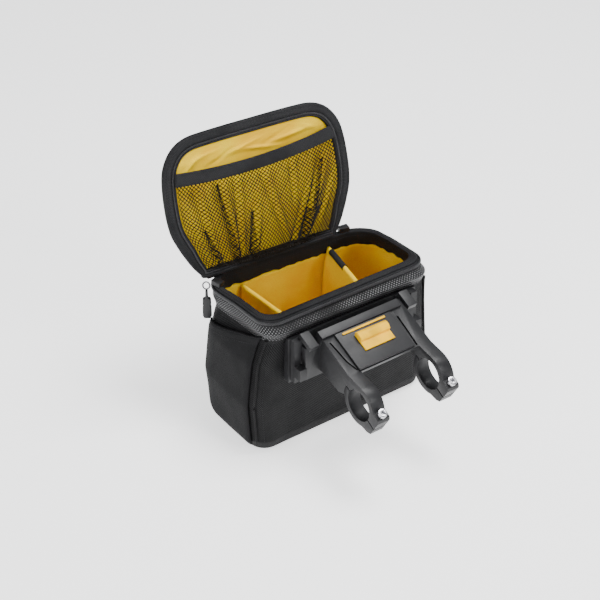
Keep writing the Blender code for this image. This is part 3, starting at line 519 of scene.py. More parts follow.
def moulded_finish(name, color, rough, grain, patches=60.0, metal=0.0, shine=0.5):
    """Plain hard finish: even colour, a fine grain in relief (m) and uneven gloss."""
    finish, tree, _, patch_tone_and_sheen = new_finish(name, shine, patches)
    tree.nodes["Principled BSDF"].inputs["Metallic"].default_value = metal
    tones = [c * 0.8 for c in color], [min(c * 1.2, 1) for c in color]
    coat_with(tree, patch_tone_and_sheen, patch_tone_and_sheen["Tone"], tones, (rough - 0.1, rough + 0.12),
              patch_tone_and_sheen["Fine"], grain, 0.6)
    return finish


ZIP_NYLON = moulded_finish("zip_nylon", (0.026, 0.026, 0.028), 0.35, 0.00005)
EDGE_TAPE = cloth_finish("edge_tape", (0.006, 0.006, 0.0068), (0.030, 0.030, 0.032), 1300,
                         0.00018, rough=0.75, shine=0.15)
COIL_PITCH = 1.35 * MM


def outward_of(loop):
    """The level outward way at each point of a loop round the bag."""
    ways = []
    for i in range(len(loop)):
        along = Vector(loop[(i + 1) % len(loop)]) - Vector(loop[i - 1])
        ways.append(Vector((along.y, -along.x, 0)).normalized())
    return ways


def round_the_sides(loop, share_in=0.42):
    """Only the points from the front left corner round the rear to the front right one."""
    ends = 3 * (BEND + 1) + 2 * (SIDE - 1) + LONG - 1
    start = int(BEND * share_in)
    return list(loop)[start:ends + int(BEND * (1 - share_in))]


COIL_DROP, COIL_OUT = 5.0, 1.9
coil_loop = body_loop(BODY_HEIGHT - COIL_DROP, -COIL_OUT)
coil_line = path_line("mouth_coil_line", round_the_sides(coil_loop),
                      round_the_sides(outward_of(coil_loop)))
mouth_coil = run_tree(coil_line, beads, {"Pitch": COIL_PITCH, "Long": 1.15 * MM,
                                         "Wide": 3.4 * MM, "High": 2.1 * MM,
                                         "Finish": ZIP_NYLON}, "mouth_coil")
belongs(mouth_coil, "zip_coil", "body_zip_coil")

tape_rows = ((159.3, 0.5), (159.3, 0.9), (155.6, 1.1), (153.4, 0.9), (153.4, 0.3), (156, 0.25))
zip_tape = closed_skin("zip_tape", [body_loop(z, -out) for z, out in tape_rows],
                       round_about=True)
soft_piece(zip_tape, EDGE_TAPE, "binding")

lip_rows = []
for k in range(9):
    t = math.radians(-25 + 230 * k / 8)
    lip_rows.append((160.4 + 1.9 * math.sin(t), -2.0 + 2.9 * math.cos(t)))
lip_rows += [(157.9, -4.0), (157.9, -3.7), (159.5, -3.3), (160.6, -2.0), (160.2, 0.3)]
mouth_lip = closed_skin("mouth_lip", [
    [Vector(p) + Vector((0, 0, max(0, z - BODY_HEIGHT)))
     for p in body_loop(min(z, BODY_HEIGHT), -out)] for z, out in lip_rows], round_about=True)
soft_piece(mouth_lip, EDGE_TAPE, "binding")

THREAD = moulded_finish("sewing_thread", (0.010, 0.010, 0.011), 0.6, 0.00005, shine=0.25)
STITCH = dict(Pitch=3.1 * MM, Long=2.3 * MM, Wide=0.55 * MM, High=0.5 * MM)


def stitched(name, path, facing, closed=False, **changes):
    """A row of machine stitches along a line, as a plain mesh on the bag."""
    seam = run_tree(path_line(name + "_line", path, facing, closed), beads,
                    {**STITCH, **changes, "Finish": THREAD}, name)
    belongs(seam, "binding")


for name, z in (("band_seam_low", 138.4), ("band_seam_high", 152.2)):
    seam_loop = body_loop(z, -(band_out(z) + 0.1))
    stitched(name, seam_loop, outward_of(seam_loop), closed=True)


# Mouth facing: dark tape inside the mouth, from the lip down to the yellow lining. Its
# lower edge is pinched in small waves where the lining is sewn to it.
FACING_OUT, LINER_WALL, FACING_DEPTH = 3.9, 1.5, 21.0
PINCH_REACH, PINCH_HIGH = 7.0, 2.2
facing_low = BODY_HEIGHT - FACING_DEPTH
facing_heights = np.linspace(facing_low, BODY_HEIGHT - 0.6, 11)


def pinch(p, z):
    """Small waves of the sewn edge, in mm, fading away from it."""
    fade = max(0.0, 1 - abs(z - facing_low) / PINCH_REACH)
    return fade * (noise.noise(Vector(p) * 0.16) * PINCH_HIGH)


def facing_loop(z, inset):
    """The facing at a height, with its pinched lower edge."""
    return [Vector(p) + Vector((0, 0, pinch(p, z))) for p in body_loop(z, inset)]


facing_loops = [facing_loop(z, FACING_OUT) for z in facing_heights]
facing_loops += [facing_loop(z, FACING_OUT + LINER_WALL
                             + 0.5 * math.sin(math.pi * k / 10) + 0.3)
                 for k, z in enumerate(facing_heights[::-1])]
mouth_facing = closed_skin("mouth_facing_tape", facing_loops, round_about=True)
soft_piece(mouth_facing, EDGE_TAPE, "binding", "mouth_facing")
for name, z in (("facing_seam_low", facing_low + 3.2), ("facing_seam_high", 156.0)):
    seam_loop = facing_loop(z, FACING_OUT + LINER_WALL + 0.75)
    stitched(name, seam_loop, [-w for w in outward_of(seam_loop)], closed=True)


# Lining: loose yellow cloth, cut to the tub and sewn in under the facing. It is slack, so
# it lies in soft upright folds between the mouth and the floor.
# Its pale patches are painted sheen of the coated cloth, and its threads lying on top are
# painted lighter as painted sheen.
YELLOW_CLOTH = cloth_finish("yellow_cloth", (0.80, 0.43, 0.0), (1.0, 0.82, 0.020), 1500,
                            0.00012, rough=0.65, shine=0.15, patches=22.0)
lining_heights = np.linspace(9, facing_low, 24)


def lining_loop(z, inset):
    """The lining at a height, with its slack folds pushed inwards."""
    loop = body_loop(z, inset)
    ways = outward_of(loop)
    slack = math.sin(math.pi * min(1, max(0, (z - 6) / (facing_low - 6)))) ** 0.5
    out = []
    for p, way in zip(loop, ways):
        spot = Vector(p)
        fold = noise.noise(Vector((spot.x * 0.05, spot.y * 0.05, spot.z * 0.012 + 4)))
        fine = noise.noise(spot * 0.11 + Vector((3, 9, 5)))
        inward = slack * (0.45 + 0.9 * max(0, fold + 0.1) + 0.35 * fine)
        out.append(spot - way * max(0.05, inward) + Vector((0, 0, 0.4 * pinch(p, z))))
    return out


lining_front = [lining_loop(z, FACING_OUT + LINER_WALL - 0.4) for z in lining_heights]
foot = body_loop(FLOOR_UP, FACING_OUT + LINER_WALL + 1.3)
lining_floor = []
for k in (0.985, 0.8, 0.55, 0.3, 0.02):
    lining_floor.append([Vector((p[0] * k, p[1] * k, 5.6 + 0.5 * noise.noise(
        Vector((p[0] * k * 0.05, p[1] * k * 0.05, 2))))) for p in foot])
lining_back = [body_loop(z, FACING_OUT) for z in lining_heights[::-2]]
outer_foot = [Vector((p[0], p[1], 3.95)) for p in body_loop(FLOOR_UP, FACING_OUT + 1.3)]
lining_back += [outer_foot, [Vector((p.x * 0.02, p.y * 0.02, 3.95)) for p in outer_foot]]
lining = closed_skin("lining", lining_floor[::-1] + lining_front + lining_back)
soft_piece(lining, YELLOW_CLOTH, "yellow_lining", "liner")


# Dividers: two upright padded walls of foam in the same yellow cloth, held by touch tape
# at the front and rear. The right one has a dark tape folded over its front end.
DIVIDERS = (
    dict(name="divider_left", front_x=-0.53, rear_x=-0.51, front_top=0.858, rear_top=0.858),
    dict(name="divider_right", front_x=0.39, rear_x=0.28, front_top=0.932, rear_top=0.840),
)
DIVIDER, DIVIDER_FOOT = 5.0, 6.2
GAP = 0.3
LINER_IN = BODY_WALL + GAP + LINER_WALL


def divider_point(row, t, z):
    """Point on a divider's middle plane: t runs from the rear wall to the front."""
    ring = body_row(z)
    back_y = -ring["rear"] + LINER_IN + 3.2 * GAP
    front_y = ring["front"] - LINER_IN - 4 * GAP
    if z < 10:
        back_y, front_y = back_y + 2, front_y - 2
    y = back_y + (front_y - back_y) * t
    x = (row["rear_x"] + (row["front_x"] - row["rear_x"]) * t) * BODY_HALF
    y -= FRONT_SKEW * ring["slope"] * x * max(0.0, 2 * t - 1)
    return Vector((x, y, z - RIM_SLOPE * ring["slope"] * (y + BODY_REAR)))


def divider_top(row, t):
    """Height of a divider's top edge, before it sinks with the rim."""
    return (row["rear_top"] + (row["front_top"] - row["rear_top"]) * t) * BODY_HEIGHT


ROUND, DIVIDER_STEPS = 10, 30
for row in DIVIDERS:
    sections = []
    for k in range(DIVIDER_STEPS + 1):
        t = k / DIVIDER_STEPS
        top = divider_top(row, t)
        end = min(t, 1 - t) * DIVIDER_STEPS
        half = DIVIDER / 2 - (0.9 if end < 0.5 else 0.25 if end < 1.5 else 0.0)
        levels = list(np.linspace(DIVIDER_FOOT, top - half - 0.5, 22))
        ring = []
        for side, heights in ((-1, levels), (1, levels[::-1])):
            if side == 1:
                crest = divider_point(row, t, top - 0.3) - Vector((0, 0, half + 0.2))
                ring += [crest + Vector((-half * math.cos(a), 0, half * math.sin(a)))
                         for a in (math.pi * j / ROUND for j in range(1, ROUND))]
            for z in heights:
                p = divider_point(row, t, z)
                plump = 1 + 0.08 * noise.noise(p * 0.045 + Vector((side * 5, 0, 0)))
                edge = 1 - 0.25 * math.exp(-((z - DIVIDER_FOOT) / 3) ** 2)
                ring.append(p + Vector((side * half * min(plump, 1.06) * edge, 0, 0)))
        sections.append(ring)
    pad = closed_skin(row["name"] + "_pad", sections)
    soft_piece(pad, YELLOW_CLOTH, "yellow_lining", row["name"])

TAB_START, TAB_RUN, TAB_STEPS, TAB_DROP = 0.60, 0.33, 10, 2.6
tab_ends = (-0.9, math.pi + 0.9)
tab = []
for k in range(TAB_STEPS + 1):
    t = TAB_START + TAB_RUN * k / TAB_STEPS
    spot = divider_point(DIVIDERS[1], t, divider_top(DIVIDERS[1], t) - 0.3)
    tab.append([spot + Vector((-radius * math.cos(a), 0, -TAB_DROP + radius * math.sin(a)))
                for radius, ends in ((DIVIDER / 2 + 0.75, tab_ends),
                                     (DIVIDER / 2 + 0.2, tab_ends[::-1]))
                for a in np.linspace(*ends, 16)])
divider_tape = closed_skin("divider_tape", tab)
soft_piece(divider_tape, EDGE_TAPE, "binding", "divider_tab")


# Side pockets: a flat cloth panel on each side, sewn into the corner seams and the floor
# and open along a slanting elastic hem that stands a little off the wall.
POCKET_CLOTH = cloth_finish("pocket_cloth", (0.0025, 0.0025, 0.003), (0.014, 0.014, 0.015), 1500,
                            0.00015, rough=0.7, shine=0.12, patches=18.0)
POCKET_ROWS, POCKET_COLS = 34, 40
POCKET_STANDOFF, POCKET_SWELL, POCKET_THICK = 1.3, 2.4, 1.4
POCKET_TALL, HEM, HEM_PLUMP = 118, 9.0, 0.55
POCKET_LOW, HEM_REAR, HEM_RISE = 0.055, 0.735, 0.136      # shares of the body's height


def wall_point(z, y, side, out):
    """Point `out` mm outside a side wall at a height and y."""
    loop = body_loop(z, -out)
    best = None
    for p, q in zip(loop, np.roll(loop, -1, axis=0)):
        if (p[1] - y) * (q[1] - y) <= 0 and abs(p[1] - q[1]) > 1e-6:
            hit = p + (q - p) * ((y - p[1]) / (q[1] - p[1]))
            if best is None or side * hit[0] > side * best[0]:
                best = hit
    return Vector(best)


def pocket_spot(side, along, up, out):
    """A point of the pocket: along runs from the front seam to the rear one."""
    low = POCKET_LOW * BODY_HEIGHT
    z = low + ((HEM_REAR + HEM_RISE * along ** 1.4) * BODY_HEIGHT - low) * up
    ring = body_row(z)
    y0 = ring["front"] - ring["radius"] * 0.36 + 7 * (0.5 - up)
    y1 = -ring["rear"] + ring["radius"] * REAR_TIGHT * 0.62
    y = y0 + (y1 - y0) * along
    swell = max(math.sin(math.pi * along), 0) ** 0.6 * (0.3 + 0.7 * up) * POCKET_SWELL
    ripple = 0.5 * noise.noise(Vector((y * 0.05, z * 0.03, 8 * side)))
    dip = 0.8 * math.exp(-((y * 0.7 + z - 70) / 14) ** 2) * math.sin(math.pi * along)
    return wall_point(z, y, side, POCKET_STANDOFF + swell + ripple - dip + out)


def sheet_skin(name, front, back):
    """A closed cloth panel between two grids of points in mm, laid out in metres."""
    rows, cols = len(front), len(front[0])
    points = [Vector(p) * MM for grid in (front, back) for line in grid for p in line]
    shift = rows * cols
    across = np.array([tuple(p) for p in front[rows // 2]]) * MM
    upward = np.array([tuple(line[cols // 2]) for line in front]) * MM
    widths, climbs = run_along(np.diff(across, axis=0)), run_along(np.diff(upward, axis=0))
    faces, layout = [], []
    for r in range(rows - 1):
        for c in range(cols - 1):
            spots = ((r, c), (r, c + 1), (r + 1, c + 1), (r + 1, c))
            for start, round_way in ((0, spots), (shift, spots[::-1])):
                faces.append([start + a * cols + b for a, b in round_way])
                layout += [(widths[b], climbs[a]) for a, b in round_way]
    edge = [(0, c) for c in range(cols)] + [(r, cols - 1) for r in range(1, rows)]
    edge += [(rows - 1, c) for c in range(cols - 2, -1, -1)]
    edge += [(r, 0) for r in range(rows - 2, 0, -1)]
    for a, b in zip(edge, edge[1:] + edge[:1]):
        m, n = a[0] * cols + a[1], b[0] * cols + b[1]
        faces.append([m, shift + m, shift + n, n])
        layout += [(widths[a[1]], climbs[a[0]]), (widths[a[1]], climbs[a[0]] + MM),
                   (widths[b[1]], climbs[b[0]] + MM), (widths[b[1]], climbs[b[0]])]
    return cloth_mesh(name, points, faces, layout)


pocket_shares = [c / POCKET_COLS for c in range(POCKET_COLS + 1)]
for side, tag in ((-1, "left"), (1, "right")):
    front, back = [], []
    for up in (r / POCKET_ROWS for r in range(POCKET_ROWS + 1)):
        hem_up = max(0.0, 1 - (1 - up) * POCKET_TALL / HEM)
        fat = HEM_PLUMP * math.sin(math.pi * hem_up) if hem_up > 0 else 0.0
        front.append([pocket_spot(side, s, up, POCKET_THICK + fat) for s in pocket_shares])
        back.append([pocket_spot(side, s, up, 0) for s in pocket_shares])
    panel = sheet_skin("side_pocket_cloth_" + tag, front, back)
    soft_piece(panel, POCKET_CLOTH, "cloth", "side_pocket_" + tag)
    for name, down in (("hem_seam_high_", 1.2), ("hem_seam_low_", HEM)):
        seam = [pocket_spot(side, s, 1 - down / POCKET_TALL, POCKET_THICK + 0.18)
                for s in pocket_shares]
        stitched(name + tag, seam, [Vector((side, 0, 0))] * len(seam), Pitch=2.6 * MM,
                 Long=1.9 * MM)


# Corner seams: the upright edges where side and rear panels meet, each closed with a
# thin cord wrapped in the same nylon and pressed flat by the seam on its side.
PIPING = 1.3


def cord_skin(name, path, radius, closed=False, up=Vector((0, 0, 1)), sides=10):
    """A round cloth cord along a path in mm."""
    loops = []
    for i, point in enumerate(path):
        if closed:
            along = (path[(i + 1) % len(path)] - path[i - 1]).normalized()
        else:
            along = (path[min(i + 1, len(path) - 1)] - path[max(i - 1, 0)]).normalized()
        across = along.cross(up)
        if across.length < 1e-6:
            across = along.cross(Vector((1, 0, 0)))
        across.normalize()
        over = across.cross(along)
        loops.append([point + across * radius * math.cos(t) + over * radius * math.sin(t)
                      for t in (2 * math.pi * k / sides for k in range(sides))])
    return closed_skin(name, loops, round_about=closed)


for tag, place, beside in (("left", BEND + SIDE + int(BEND * 0.45), 3),
                           ("right", 2 * BEND + SIDE + LONG + int(BEND * 0.55), -3)):
    path = []
    for z in np.linspace(0.086 * BODY_HEIGHT, 0.845 * BODY_HEIGHT, 40):
        spot = body_loop(z, -(PIPING + 0.15))[place]
        path.append(Vector(spot) + Vector((0.25 * noise.noise(Vector((z * 0.08, 3, 1))), 0, 0)))
    seam_cord = cord_skin("corner_cord_" + tag, path, PIPING)
    soft_piece(seam_cord, BLACK_NYLON, "cloth", "corner_piping_" + tag)
    rows_up = np.linspace(0.1 * BODY_HEIGHT, 0.84 * BODY_HEIGHT, 40)
    seam = [body_loop(z, -0.35)[place + beside] for z in rows_up]
    ways = [outward_of(body_loop(z))[place + beside] for z in rows_up]
    stitched("corner_seam_" + tag, seam, ways)


# Lid shell: a padded dish of the same black nylon, sewn from a crown and a side strip.
# It hangs open from a cloth hinge and leans away from the rider.
LID_LENGTH, LID_HALF = 146.0, 100.5
LID_SHIFT, LID_SETBACK = -28.6, 10.5
LID_YAW, LID_LEAN = math.radians(-4.8), math.radians(74.2)
LID_BORDER, LID_EDGE, LID_FOOT_CUT, LID_FOOT, LID_DEPTH = 8.5, 13.0, 4.5, 4.2, 14.2
LID_OUTLINE = np.array((                     # height and half width, as shares
    (0.031, 0.706), (0.055, 0.751), (0.110, 0.811), (0.185, 0.871), (0.274, 0.930),
    (0.370, 0.980), (0.479, 1.000), (0.603, 1.000), (0.712, 0.988), (0.801, 0.963),
    (0.870, 0.915), (0.925, 0.851), (0.966, 0.766), (0.990, 0.657), (0.997, 0.517)))


def mouth_front(x, inset=0.0):
    """Front edge of the mouth at a given x, with its height."""
    rim = body_row(BODY_HEIGHT)
    y = rim["front"] - inset - FRONT_SKEW * x
    return y, BODY_HEIGHT - RIM_SLOPE * (y + BODY_REAR)


hinge_y, hinge_z = mouth_front(0)
LID = (Matrix.Translation((LID_SHIFT, hinge_y - LID_SETBACK, hinge_z - GAP))
       @ Matrix.Rotation(LID_YAW, 4, "Z") @ Matrix.Rotation(LID_LEAN, 4, "X"))
LID_FACE = (LID.to_3x3() @ Vector((0, 0, 1))).normalized()

right_side = [(half * LID_HALF, v * LID_LENGTH) for v, half in LID_OUTLINE]
outline = right_side + [(k * LID_HALF, LID_LENGTH) for k in (0.26, 0, -0.26)]
outline += [(-a, b) for a, b in reversed(right_side)]
outline += [(k * LID_HALF, LID_FOOT) for k in (-0.35, 0, 0.35)]


def smooth_ring(points, count):
    """A closed curve through the points, with its points evenly spaced."""
    points = [Vector(p) for p in points]
    fine = []
    for i in range(len(points)):
        a, b, c, d = (points[(i + k) % len(points)] for k in (-1, 0, 1, 2))
        for k in range(8):
            t = k / 8
            fine.append(0.5 * ((2 * b) + (c - a) * t + (2 * a - 5 * b + 4 * c - d) * t * t
                               + (3 * b - a - 3 * c + d) * t ** 3))
    fine.append(fine[0].copy())
    run = run_along(np.diff([tuple(p) for p in fine], axis=0))
    spots = np.linspace(0, run[-1], count, endpoint=False)
    return np.stack([np.interp(spots, run, [p[k] for p in fine]) for k in (0, 1)], axis=1)


LID_POINTS = 220
lid_ring = smooth_ring(outline, LID_POINTS)
tangents = np.roll(lid_ring, -3, axis=0) - np.roll(lid_ring, 3, axis=0)
tangents /= np.linalg.norm(tangents, axis=1)[:, None]
inward = np.stack([-tangents[:, 1], tangents[:, 0]], axis=1)
near_hinge = 1 - np.clip((lid_ring[:, 1] / LID_LENGTH - 0.03) / 0.18, 0, 1)


def lid_flat(offset):
    """The lid's outline moved inwards, in the lid's own plane."""
    step = offset - LID_FOOT_CUT * near_hinge * np.clip(offset / LID_BORDER, None, 1)
    return lid_ring + inward * step[:, None]


def on_lid(x, v, w):
    """A point given across, up and off the lid, in the row frame."""
    return LID @ Vector((x, v, w))


def lid_loop(offset, w):
    """The outline at an inset and a height off the lid's plane, in the row frame."""
    heights = w if hasattr(w, "__len__") else [w] * LID_POINTS
    return [on_lid(a, b, h) for (a, b), h in zip(lid_flat(offset), heights)]


def lid_dish(scale, w, wave=0.0, seed=0.0):
    """The inner outline shrunk towards the lid's middle, with some slackness."""
    middle = np.array((0.0, LID_LENGTH / 2))
    out = []
    for a, b in middle + (lid_flat(LID_EDGE) - middle) * scale:
        slack = wave * (noise.noise(Vector((a * 0.035, b * 0.035, seed)))
                        + 0.5 * noise.noise(Vector((a * 0.1, b * 0.1, seed + 5))))
        out.append(on_lid(a, b, w + slack))
    return out


def dish_height(scale, rim_w, flat_w, deep_w):
    """Height of the dish from the crown's middle (0) to its edge (1)."""
    return float(np.interp(scale, (0.0, 0.4, 0.76, 0.9, 1.0),
                           (deep_w - 0.3, deep_w, flat_w, (flat_w + rim_w) / 2 - 0.6, rim_w)))


LID_ROLL = ((LID_EDGE, -5.4), (8, -4.4), (4.5, -3.6), (2, -3.25), (0.9, -3.2), (0.15, -3.5),
            (0, -4.0), (0.15, -4.7), (0.9, -5.6), (3, -6.8), (7, -7.7), (LID_EDGE, -8.6))
shares = np.linspace(0.02, 0.97, 13)
lid_loops = [lid_dish(s, dish_height(s, -5.4, 5 - LID_DEPTH, 2.7 - LID_DEPTH)) for s in shares]
lid_loops += [lid_loop(offset, w) for offset, w in LID_ROLL]
lid_loops += [lid_dish(s, dish_height(s, -8.6, 2.2 - LID_DEPTH, -LID_DEPTH), 0.7, 3.0)
              for s in shares[::-1]]
lid_cover = closed_skin("lid_cover", lid_loops)


def cut_flat(piece):
    """The cloth layout of a panel that was cut flat, in the lid's own plane."""
    flat = LID.inverted()
    layout = piece.data.uv_layers["cloth"].data
    for loop in piece.data.loops:
        spot = flat @ (piece.data.vertices[loop.vertex_index].co / MM)
        layout[loop.index].uv = (spot.x * MM, spot.y * MM)


cut_flat(lid_cover)
soft_piece(lid_cover, BLACK_NYLON, "cloth", "lid_shell")
for name, offset, w in (("crown_seam_out", LID_EDGE + 1, -8.7), ("crown_seam_in", 9.5, -8.1)):
    stitched(name, [p - LID_FACE * 0.35 for p in lid_loop(offset, w)],
             [-LID_FACE] * LID_POINTS, closed=True)
crown_cord = cord_skin("crown_cord", [p - LID_FACE * 0.2 for p in lid_loop(11.3, -8.5)], 1.0,
                       closed=True, up=LID_FACE)
soft_piece(crown_cord, BLACK_NYLON, "cloth")


# Lid binding: padded dark grey edging round the lid, folded over the raw edges and
# stitched down near its inner edge. A rolled bead forms its outer rim.
bulge = [noise.noise(Vector((i * 0.21, 4, 0))) * 0.35 for i in range(LID_POINTS)]
binding_rows = ((0.0, -2.9, 0), (-0.25, -2.1, 0), (-0.2, -1.1, 0), (0.2, -0.1, 0.3),
                (0.95, 0.65, 0.6), (1.9, 0.85, 0.6), (2.7, 0.45, 0.3), (3.3, 0.75, 0.6),
                (4.6, 1.35, 1.0), (6.0, 1.3, 1.0), (7.1, 0.9, 0.6), (7.6, 0.45, 0.2),
                (8.1, 0.65, 0.3), (LID_BORDER, 0.1, 0), (LID_BORDER, -2.6, 0), (4, -3.0, 0))
binding_loops = [lid_loop(off, [w + soft_w * b for b in bulge])
                 for off, w, soft_w in binding_rows]
lid_binding = closed_skin("lid_edging", binding_loops, round_about=True)
soft_piece(lid_binding, EDGE_TAPE, "binding", "lid_binding")
face_ways = [LID_FACE] * LID_POINTS
for name, offset, w in (("edging_seam", 7.5, 0.75), ("edging_seam_out", 2.75, 0.7)):
    stitched(name, lid_loop(offset, w), face_ways, closed=True)


# Lid zip: the other half of the mouth's coil, sewn round the lid inside its edging.
LID_COIL = 0.9
zip_offset = LID_BORDER + LID_COIL + GAP
lid_coil = run_tree(path_line("lid_coil_line", lid_loop(zip_offset, 0.35), face_ways, True),
                    beads, {"Pitch": COIL_PITCH, "Long": 1.1 * MM, "Wide": 2.1 * MM,
                            "High": 1.9 * MM, "Finish": ZIP_NYLON}, "lid_coil")
belongs(lid_coil, "zip_coil", "lid_zip_coil")


# Lid facing: a narrow dark tape that holds the lining's edge, slightly puckered.
facing_out = LID_BORDER + 2 * LID_COIL + 2 * GAP
pucker = [0.5 * noise.noise(Vector((i * 0.33, 1, 2))) for i in range(LID_POINTS)]
facing_rows = ((facing_out, 0.5, 0.3), (facing_out + 0.7, 0.85, 0.5), (LID_EDGE - 0.9, 0.75, 1),
               (LID_EDGE - 0.2, 0.3, 0.8), (LID_EDGE, -1.4, 0.2), (facing_out, -1.6, 0))
lid_facing = closed_skin("lid_facing_tape", [
    lid_loop(off, [w + k * p for p in pucker]) for off, w, k in facing_rows], round_about=True)
soft_piece(lid_facing, EDGE_TAPE, "binding", "lid_facing")
stitched("lid_facing_seam", lid_loop(LID_EDGE - 1.1, 1.0), face_ways, closed=True)


# Lid lining: slack yellow cloth behind the net, with long soft creases that run across it
# just under the top edge and two broad ones lower down. Each is given by its middle on the
# lid, its half length and half width, its turn in degrees and its height, in mm.
CREASES = (
    (-66, 117, 15, 2.2, 38, 2.3), (-50, 123, 17, 2.4, 10, 2.1), (-28, 118, 19, 2.2, 22, -1.9),
    (-10, 121, 22, 2.6, 12, 2.5), (8, 115, 18, 2.2, -10, 2.0), (26, 121, 15, 2.0, 22, -1.7),
    (44, 119, 18, 2.4, 6, 2.2), (62, 123, 12, 2.0, -24, 1.6), (-40, 70, 44, 6.0, 84, 1.4),
    (22, 64, 46, 6.0, 98, 1.3),
)


def crease_at(x, v):
    """Height of the creases at a point of the lining, in mm."""
    total = 0.0
    for mid_x, mid_v, long, wide, turn, high in CREASES:
        t = math.radians(turn)
        a, b = x - mid_x, v - mid_v
        u = (a * math.cos(t) + b * math.sin(t)) / long
        w = (b * math.cos(t) - a * math.sin(t)) / wide
        w *= 1.7 if w > 0 else 0.9          # each crease is steeper on its upper side
        total += high * math.exp(-u * u - w * w)
    return total


def lining_ring(scale, w):
    """The lining's outline shrunk towards the lid's middle, with its creases."""
    middle = np.array((0.0, LID_LENGTH / 2))
    out = []
    fade = min(1.0, (1 - scale) * 7)
    for a, b in middle + (lid_flat(LID_EDGE + 0.6) - middle) * scale:
        slack = 0.6 * noise.noise(Vector((a * 0.06, b * 0.06, 9))) + crease_at(a, b)
        out.append(on_lid(a, b, w + fade * slack))
    return out


lining_shares = np.concatenate([np.linspace(0.02, 0.25, 6), np.linspace(0.3, 1.0, 40)])
lining_loops = [lining_ring(s, dish_height(s, -2.0, 8.2 - LID_DEPTH, 5.9 - LID_DEPTH) + 0.2)
                for s in lining_shares]
lining_loops += [lid_dish(s * 0.985, dish_height(s, -3.2, 6.8 - LID_DEPTH, 4.6 - LID_DEPTH))
                 for s in (1.0, 0.76, 0.4, 0.02)]
lid_lining = closed_skin("lid_lining_cloth", lining_loops)
cut_flat(lid_lining)
soft_piece(lid_lining, YELLOW_CLOTH, "yellow_lining", "lid_lining")


# Net pocket: black elastic net gathered onto the band above and the facing at its foot. Its
# folds fan out from the foot. Each is given by its two ends on the lid, its width, its depth
# and the height of the ridge beside it, in mm.
BAND_LOW, BAND_TALL, BAND_SAG, BAND_TILT = 103.0, 13.0, 5.5, 1.6
NET_FOOT, NET_FOOT_DIP, NET_BELLY = 14.0, 7.0, 4.2
NET_PITCH, NET_THREAD = 4.2, 0.95
FOLD_WIDE_PITCH, FOLD_HIGH_PITCH, FOLD_THREAD = 2.6, 2.8, 0.85
NET_WIDE, NET_HIGH = 190.0, 92.0
NET_FOLDS = (
    ((-88, 88), (-66, 14), 3.0, 2.2, 1.6), ((-70, 96), (-58, 12), 2.6, 2.4, 2.0),
    ((-45, 96), (-38, 8), 3.0, 3.6, 2.6), ((-26, 99), (-33, 16), 2.4, 2.6, 1.8),
    ((-12, 60), (-22, 6), 2.6, 3.8, 2.8), ((2, 92), (15, 34), 2.6, 2.6, 2.0),
    ((35, 96), (32, 58), 2.2, 2.2, 1.6), ((68, 88), (34, 12), 3.2, 3.6, 2.4),
    ((84, 80), (60, 34), 2.4, 1.8, 1.4), ((50, 70), (22, 10), 2.4, 2.0, 1.6),
)


def band_edge(across, lift):
    """Height up the lid of a line along the band; across runs from -1 to 1."""
    return BAND_LOW + lift + BAND_TILT * across - BAND_SAG * (1 - across ** 2)


right_half = lid_flat(LID_EDGE + GAP)
right_half = right_half[right_half[:, 0] > 0]
right_half = right_half[np.argsort(right_half[:, 1])]


def lid_half(v):
    """Half width of the lid's opening at a height up the lid."""
    return float(np.interp(v, right_half[:, 1], right_half[:, 0]))


def fold_at(x, v):
    """Height of the net's folds off its smooth belly, in mm."""
    total = 0.0
    for top, low, wide, deep, ridge in NET_FOLDS:
        top, low = Vector(top), Vector(low)
        line_way = (low - top).normalized()
        along = (Vector((x, v)) - top).dot(line_way) / (low - top).length
        off = (x - top.x) * -line_way.y + (v - top.y) * line_way.x
        ends = 1 / (1 + math.exp(-14 * (along + 0.02))) / (1 + math.exp(14 * (along - 1.1)))
        narrow = wide * (1.25 - 0.45 * min(1, max(0, along)))
        total -= 1.25 * ends * deep * math.exp(-(off / narrow) ** 2)
        total += 1.5 * ends * ridge * math.exp(-((off - 1.7 * narrow) / narrow) ** 2)
    return total


def net_spot(across, up, out=0.0):
    """A point of the net; up runs from its foot to the band."""
    bow = 1 - across ** 2
    v = NET_FOOT + (band_edge(across, 3) - NET_FOOT) * up - NET_FOOT_DIP * (1 - up) ** 3 * bow
    x = across * (lid_half(v) - 0.4) + 1.6 * math.sin(across * 9 + 1) * (1 - up) * bow
    belly = NET_BELLY * bow * math.sin(math.pi * (0.1 + 0.8 * up))
    ends = min(1.0, 7 * (1 - abs(across))) * min(1.0, 6 * (1.03 - up)) * min(1.0, 8 * up + 0.3)
    w = 0.9 + belly + ends * fold_at(x, v)
    return on_lid(x, v, max(w, 0.4 - 2.2 * bow) + out)


# The threads' brown tint is painted light: bounce from the yellow lining painted into the colour
# of a black net.
NET_THREADS = moulded_finish("net_threads", (0.011, 0.008, 0.005), 0.65, 0.00006, shine=0.15)
strands, taken, given = nodes_tree("net_strands", ("Thread",))
line = shade(strands, "GeometryNodeMeshToCurve", {0: taken["Geometry"]})
profile = shade(strands, "GeometryNodeCurvePrimitiveCircle", {"Resolution": 4, "Radius": 0.5})
thread_size = shade(strands, "ShaderNodeCombineXYZ", {k: taken["Thread"] for k in range(3)})
round_profile = shade(strands, "GeometryNodeTransform", {
    "Geometry": profile.outputs[0], "Scale": thread_size.outputs[0]})
swept = shade(strands, "GeometryNodeCurveToMesh", {
    "Curve": line.outputs[0], "Profile Curve": round_profile.outputs[0]})
smooth = shade(strands, "GeometryNodeSetShadeSmooth", {0: swept.outputs[0]})
close_tree(strands, smooth.outputs[0], taken["Finish"], given)


